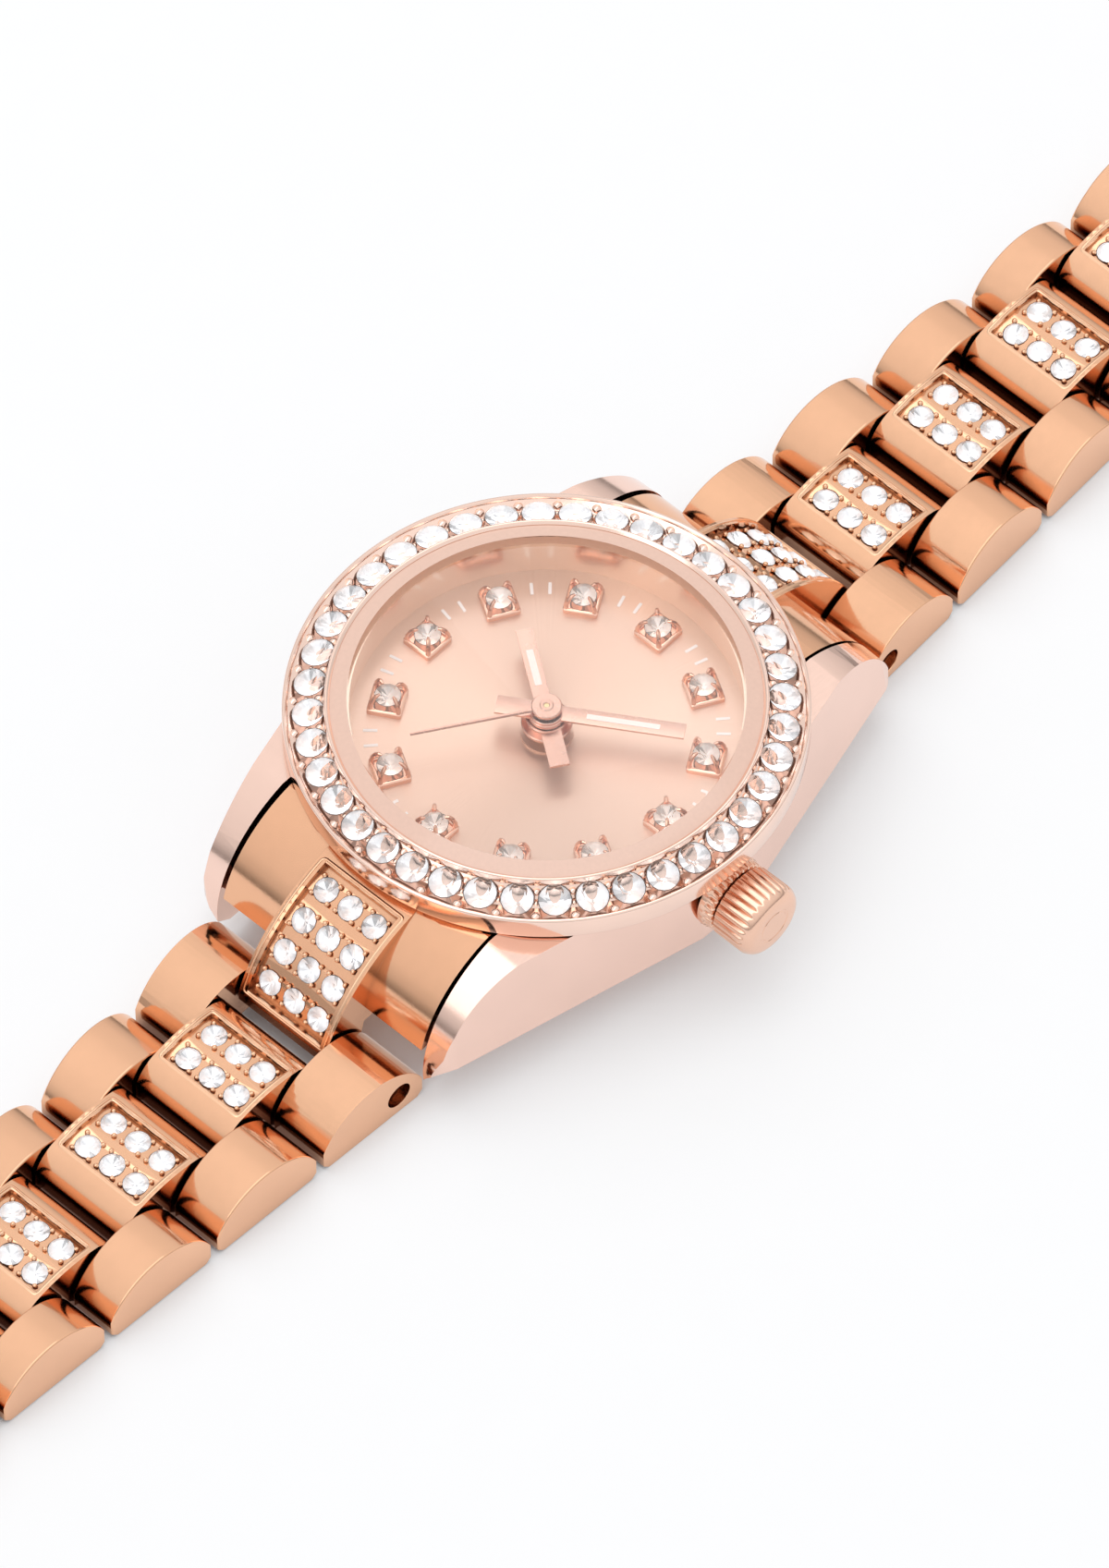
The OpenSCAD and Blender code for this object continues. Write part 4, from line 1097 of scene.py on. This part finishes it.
def add_hub(shape: Shape, r: float, bore: float, low: float, high: float) -> None:
    """Adds a turned hub with a round edge.

    Args:
        shape: Shape to add to.
        r: Its radius.
        bore: Radius of its bore.
        low: Height of its underside.
        high: Height of its top.
    """
    shape.lathe([
        (bore, low), (r, low), (r, high - 0.05), (r - 0.05, high), (bore + 0.04, high), (bore, high - 0.04),
    ], 64, closed=True)


@dataclass
class Hands:
    """The three hands, each on its own body, set to the photographed time."""

    finishes: Finishes
    hour: Baton = Baton(
        "hour_hand", "hours", 304.8, 9.5, 6.1, 3.5, 0.95, 0.8, ((1.2, -0.48, 0.18), (1.45, -0.5, -0.3)),
        (0.35, 0.76, 0.2),
    )
    minute: Baton = Baton(
        "minute_hand", "minutes", 57.5, 9.95, 7.9, 2.9, 1.0, 0.5, ((0.95, -0.1, 0.18), (1.05, -0.2, 0.05)),
        (0.29, 0.82, 0.17),
    )
    seconds_angle: float = 213.6
    seconds_low: float = 10.4

    def build(self) -> None:
        """Builds the two batons, the thin seconds hand and the white strips."""
        for baton in (self.hour, self.minute):
            baton.build(self.finishes.hand)
        shape, low = Shape(), self.seconds_low
        shape.loft([
            [(x, -w, low + 0.02), (x, w, low + 0.02), (x, w * 0.5, low + 0.12), (x, -w * 0.5, low + 0.12)]
            for x, w in ((7.9, 0.1), (0.5, 0.15))
        ], turned(90 - self.seconds_angle))
        add_hub(shape, 0.87, 0.25, low, low + 0.22)
        add_hub(shape, 0.4, 0.16, low + 0.1, low + 0.28)
        shape.piece(
            "seconds_hand_needle", "seconds", [self.finishes.hand], "rose_gold_dial_parts", 25,
            replaces=["seconds_hand"],
        )
        for baton in (self.hour, self.minute):
            baton.build_strip(self.finishes.strip)


@dataclass
class Tray:
    """The raised frame of a stone bed, with a round outer lip and a step inside, on any surface.

    The steps are the distance in from the outer edge and the depth under the surface.
    """

    half_x: float
    half_s: float
    divisions: int = 8
    corner: float = 0.45
    steps: tuple[Flat, ...] = (
        (0.02, 0.7), (0.0, 0.34), (0.02, 0.22), (0.06, 0.12), (0.12, 0.05), (0.19, 0.01), (0.24, 0.0),
        (0.27, 0.01), (0.29, 0.06), (0.31, 0.08), (0.37, 0.09), (0.39, 0.11), (0.41, 0.16), (0.44, 0.7),
    )

    def add_to(self, shape: Shape, surface: Surface, place: Matrix | None = None) -> None:
        """Adds the frame.

        Args:
            shape: Shape to add to.
            surface: Gives a point from x, the way along the surface and the depth under it.
            place: Where to put the frame.
        """
        loops = []
        for inset, drop in self.steps:
            corner = max(self.corner - inset, 0.08)
            loop = rounded_loop(self.half_x - inset, self.half_s - inset, corner, self.divisions)
            loops.append([surface(x, s, drop) for x, s in loop])
        shape.loft(loops, place, ring=True)


@dataclass
class Bracelet:
    """The link rows on both sides of the head."""

    finishes: Finishes
    rows: int = 6
    inner: float = 3.5
    wide: float = 7.55
    narrow: float = 6.0
    taper: float = 30.0
    foot_bevel: float = 0.4
    arc_r: float = 4.2
    outer_edge: float = 0.13
    centre_edge: float = 0.1
    step_y: float = 2.1
    stone_z: float = 3.8
    stone_lean: float = 0.07
    tray_r: float = 9.0
    tray_top: float = 4.03
    tray: Flat = (3.32, 2.43)
    bead_r: float = 0.16
    bead_drop: float = 0.41

    def profile(self, half: float, height: float) -> list[Flat]:
        """Gives a link's side outline, anticlockwise from the foot's near end.

        Args:
            half: Half its length.
            height: Its height.

        Returns:
            Points as distance along the bracelet and height.
        """
        start = math.degrees(math.acos(half / self.arc_r))
        foot = self.foot_bevel
        return [
            (-half, foot), (-half + foot, 0.0), (half - foot, 0.0), (half, foot),
            *arc((0, height - self.arc_r), self.arc_r, start, 180 - start, 28),
        ]

    def half_width(self, y: float, first: float) -> float:
        """Gives the bracelet's half width at a distance from the dial."""
        return max(self.narrow, self.wide - (self.wide - self.narrow) * (y - first) / self.taper)

    def build_outer(self, side: Side, k: int, first: float) -> None:
        """Builds both outer links of a row.

        Args:
            side: Side of the bracelet.
            k: Row number.
            first: Distance of the first outer link from the dial.
        """
        node, body = f"outer_links_{side.tag}_{k}", f"row_{side.tag}_{k}"
        if k == 1:
            solid_copy(node, body, self.finishes.bracelet, self.outer_edge)
            return
        low, high = span(node)
        centre = abs(low.y + high.y) / 2
        outline = [
            (self.half_width(centre + u, first), side.value * (centre + u), v)
            for u, v in self.profile((high.y - low.y) / 2, high.z)
        ]
        shape = Shape()
        for flip in (1, -1):
            inside = [(flip * self.inner, y, z) for _, y, z in outline]
            loops = [inside, [(flip * x, y, z) for x, y, z in outline]]
            if flip * side.value > 0:
                loops.reverse()
            shape.loft(loops)
        looks = [self.finishes.bracelet]
        shape.piece(f"{node}_polished", body, looks, "rose_gold_bracelet", 30, self.outer_edge, [node])

    def build_centre(self, side: Side, k: int) -> None:
        """Builds a centre link with its tray, beads and stones.

        Args:
            side: Side of the bracelet.
            k: Row number.
        """
        node, body = f"centre_link_{side.tag}_{k}", f"row_{side.tag}_{k}"
        low, high = span(node)
        centre = (low.y + high.y) / 2
        solid_copy(node, body, self.finishes.bracelet, self.centre_edge, lowest=True)

        def surface(x: float, s: float, drop: float) -> Vector:
            """Gives a point under the tray's arched top."""
            sag = self.tray_r - math.sqrt(self.tray_r**2 - s * s)
            return Vector((x, centre + s, self.tray_top - sag - drop))

        bed, stones = Shape(), Shape()
        Tray(*self.tray).add_to(bed, surface)
        rng = random.Random(17 * k + side.value)
        most = self.stone_lean
        for i, j in product((-1, 0, 1), (-1, 1)):
            x, y = i * LINK_STEP_X, j * self.step_y / 2
            lean = Matrix.Rotation(rng.uniform(-most, most), 4, "X")
            lean = lean @ Matrix.Rotation(rng.uniform(-most, most), 4, "Y")
            spin = Matrix.Rotation(rng.uniform(0, 0.78), 4, "Z")
            place = Matrix.Translation((x, centre + y, self.stone_z)) @ lean @ spin
            LINK_CUT.add_to(stones, LINK_STONE_R, place)
            for s, t in CORNERS:
                bed.ball(surface(x + s * BEAD_REACH, y + t * BEAD_REACH, self.bead_drop), self.bead_r)
        bed.piece(f"stone_tray_{side.tag}_{k}", body, [self.finishes.tray], "rose_gold_bracelet", 40)
        stones.piece(f"link_stones_{side.tag}_{k}", body, self.finishes.stone, "stones", 0)

    def build(self) -> None:
        """Builds every row."""
        low, high = span("outer_links_12_1")
        for side, k in product(Side, range(1, self.rows + 1)):
            self.build_outer(side, k, (low.y + high.y) / 2)
            self.build_centre(side, k)


@dataclass
class EndLinks:
    """The stone-set pieces that join the bracelet to the lugs."""

    finishes: Finishes
    arc_y: float = 12.5
    arc_z: float = -1.0
    arc_r: float = 10.2
    edge: float = 0.08
    angles: tuple[float, ...] = (67.5, 55.0, 42.5, 30.0)
    frame_angles: Flat = (21.2, 76.4)
    frame_half: float = 3.32
    frame_lift: float = 0.06
    stone_sink: float = 0.1
    bead_z: float = -0.24
    bead_r: float = 0.16

    def surface(self, x: float, s: float, drop: float) -> Vector:
        """Gives a point on the tongue; x is turned over to keep the frame's faces outward.

        Args:
            x: Distance from the middle.
            s: Way along the arc from the frame's middle.
            drop: Depth under the frame's top.

        Returns:
            The point, on the 12 o'clock side.
        """
        a = math.radians(sum(self.frame_angles) / 2) + s / self.arc_r
        r = self.arc_r + self.frame_lift - drop
        return Vector((-x, self.arc_y + r * math.cos(a), self.arc_z + r * math.sin(a)))

    def build_stones(self) -> None:
        """Cuts the stones of both end links and sets their beads and frames."""
        stones, beds = Shape(), Shape()
        rng = random.Random(9)
        low, high = self.frame_angles
        frame_tray = Tray(self.frame_half, self.arc_r * math.radians(high - low) / 2, 18)
        for side in Side:
            mirror = Matrix.Scale(side.value, 4, (0, 1, 0))
            for a, i in product(self.angles, (-1, 0, 1)):
                spot = mirror @ Matrix.Translation((i * LINK_STEP_X, self.arc_y, self.arc_z))
                place = spot @ turned(a - 90, "X") @ Matrix.Translation((0, 0, self.arc_r - self.stone_sink))
                spin = Matrix.Rotation(rng.uniform(0, 0.78), 4, "Z")
                LINK_CUT.add_to(stones, LINK_STONE_R, place @ mirror @ spin)
                for sx, sy in CORNERS:
                    bead = place @ Vector((sx * BEAD_REACH, sy * BEAD_REACH, self.bead_z))
                    beds.ball(bead, self.bead_r)
            frame_tray.add_to(beds, self.surface, mirror)
        stones.piece(
            "end_link_stones_cut", "case", self.finishes.stone, "stones", 0, replaces=["end_link_stones"]
        )
        beds.piece("end_link_frames", "case", [self.finishes.tray], "rose_gold_bracelet", 40)

    def build(self) -> None:
        """Builds the end links and what they carry."""
        for side in Side:
            node = f"end_link_{side.tag}"
            solid_copy(node, "case", self.finishes.end_link, self.edge)
        self.build_stones()


@dataclass
class CarriedOver:
    """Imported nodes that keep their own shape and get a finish."""

    finishes: Finishes

    def dress(self) -> None:
        """Gives each node that stays its material."""
        f = self.finishes
        groups = (
            (f.case, "case_back"), (f.rehaut, "rehaut_ring"), (f.dial, "dial"), (f.rubber, "back_gasket"),
            (f.nylon, "movement_ring"), (f.wire, "coil"),
            (f.bracelet, "clasp_base", "clasp_cover", "catch_link"),
            (f.brass, "mainplate", "hour_wheel", "cannon_pinion", "seconds_wheel", "intermediate_wheel",
             "motion_wheel"),
            (f.steel, "train_bridge", "battery", "crown_tube", "spring_bars", "rotor", "stem",
             "setting_lever", "clasp_pins"),
        )
        for finish, *names in groups:
            for name in names:
                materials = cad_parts[name].data.materials
                materials.clear()
                materials.append(finish)
                LOG.info("%s keeps its solid", name)


@dataclass
class Studio:
    """Floor, world, lamps and the camera."""

    azimuth: float = 43.55
    elevation: float = 54.5
    roll: float = 0.7
    distance: float = 921.0
    target: Point = (-1.36, 2.0, 0.0)
    lens: float = 369.5
    white: float = 0.955
    glow: float = 0.67
    mirror_glow: float = 0.5
    shade_reach: float = 7.5
    floor_half: float = 1.6
    floor_z: float = -0.00002
    tent: tuple[Flat, ...] = ((0.0, 0.15), (0.06, 0.36), (0.18, 0.7), (0.4, 0.88), (0.7, 0.95), (1.0, 1.05))
    softbox: tuple[Flat, ...] = ((-0.34, 0.1), (-0.88, 0.5), (0.25, 1.1))
    softbox_fade: float = 0.03
    softbox_level: float = 1.0

    def build_camera(self) -> None:
        """Places the camera as the photograph was taken."""
        a, e = math.radians(self.azimuth), math.radians(self.elevation)
        back = Vector((math.sin(a) * math.cos(e), -math.cos(a) * math.cos(e), math.sin(e)))
        data = bpy.data.cameras.new("camera")
        data.lens = self.lens
        data.sensor_width = 36
        data.clip_start, data.clip_end = 0.05, 10
        cam = added("camera", data)
        cam.location = (Vector(self.target) + back * self.distance) * MM
        cam.rotation_mode = "QUATERNION"
        turn = Matrix.Rotation(math.radians(self.roll), 4, -back)
        level = (-back).to_track_quat("-Z", "Y").to_matrix().to_4x4()
        cam.rotation_quaternion = (turn @ level).to_quaternion()
        bpy.context.scene.camera = cam

    def build_floor(self) -> None:
        """Lays a pale floor that shows white and keeps the shadow; its glow fades where the watch stands
        close, which paints contact shade there.
        """
        mesh = bpy.data.meshes.new("floor")
        corners = ((-1, -1), (1, -1), (1, 1), (-1, 1))
        points = [(x * self.floor_half, y * self.floor_half, self.floor_z) for x, y in corners]
        mesh.from_pydata(points, [], [(0, 1, 2, 3)])
        floor = added("floor", mesh)
        s = Shader("floor white")
        tint = s.tint(s.noise(300), (0.752, 0.762, 0.785), (0.772, 0.782, 0.805))
        s.feed(s.base, {"Base Color": tint, "Roughness": 1.0, "Specular IOR Level": 0.0})
        path = s.node("ShaderNodeLightPath").outputs
        # Painted contact shade: the camera's share of glow fades with closeness to the watch.
        seen = s.value("MULTIPLY", path["Is Camera Ray"], s.openness(self.shade_reach))
        mirrored = s.value("MULTIPLY", path["Is Glossy Ray"], self.mirror_glow)
        share = s.value("MULTIPLY_ADD", seen, self.glow, mirrored)
        glow = s.node("ShaderNodeEmission", {"Strength": self.white}).outputs[0]
        s.feed(s.out, {0: s.mixed(share, s.base.outputs[0], glow)})
        mesh.materials.append(s.material)

    def build_world(self) -> None:
        """Makes a white backdrop for the camera and a graded tent for light and reflections.

        The tent's levels go by the height of a ray. A softbox shows within bounds of its X, Y and Z.
        """
        world = bpy.data.worlds.new("tent")
        bpy.context.scene.world = world
        world.use_nodes = True
        s = Nodes(world.node_tree)
        coords = s.node("ShaderNodeTexCoord").outputs["Generated"]
        way = s.node("ShaderNodeSeparateXYZ", {0: coords}).outputs
        ramp = s.node("ShaderNodeValToRGB", {0: way["Z"]})
        stops = ramp.color_ramp
        while len(stops.elements) < len(self.tent):
            stops.elements.new(0.5)
        for stop, (position, level) in zip(stops.elements, self.tent):
            stop.position = position
            stop.color = (level, level, level, 1)
        patch: Feed = self.softbox_level
        for axis, bounds in zip("XYZ", self.softbox):
            for edge, fade in zip(bounds, (self.softbox_fade, -self.softbox_fade)):
                patch = s.value("MULTIPLY", patch, s.step(way[axis], edge - fade, edge + fade))
        level = s.value("ADD", patch, ramp.outputs[0])
        tent = s.node("ShaderNodeBackground", {0: level}).outputs[0]
        backdrop = s.node("ShaderNodeBackground", {0: (self.white, self.white, self.white, 1)}).outputs[0]
        seen = s.node("ShaderNodeLightPath").outputs["Is Camera Ray"]
        s.node("ShaderNodeOutputWorld", {0: s.mixed(seen, tent, backdrop)})

    def lamp(self, name: str, place: Point, size: float, power: float, through: bool = False) -> None:
        """Hangs a soft square lamp that looks at the watch.

        Args:
            name: Lamp's name.
            place: Its place in metres.
            size: Its edge in metres.
            power: Its power in watts.
            through: True for one that only light through glass and stones shows.
        """
        data = bpy.data.lights.new(name, "AREA")
        data.shape = "SQUARE"
        data.size = size
        data.energy = power
        lamp = added(name, data)
        lamp.visible_glossy = False
        lamp.visible_diffuse = not through
        lamp.visible_transmission = through
        lamp.location = place
        lamp.rotation_mode = "QUATERNION"
        lamp.rotation_quaternion = (-Vector(place)).to_track_quat("-Z", "Y")

    def build(self) -> None:
        """Builds the studio."""
        self.build_camera()
        self.build_floor()
        self.build_world()
        self.lamp("key", (-0.45, 0.15, 0.85), 0.9, 3.6)
        self.lamp("spark", (-0.3, 0.1, 0.95), 0.6, 0.62, through=True)
        bpy.context.scene.view_settings.view_transform = "Standard"


def main() -> None:
    """Builds the watch and its studio."""
    logging.basicConfig(level=logging.INFO, format="%(name)s: %(message)s")
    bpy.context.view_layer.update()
    Studio().build()
    finishes = Finishes()
    HeadOutline(finishes).build()
    DialFurniture(finishes).build()
    Hands(finishes).build()
    Bracelet(finishes).build()
    EndLinks(finishes).build()
    CarriedOver(finishes).dress()


if __name__ == "__main__":
    main()
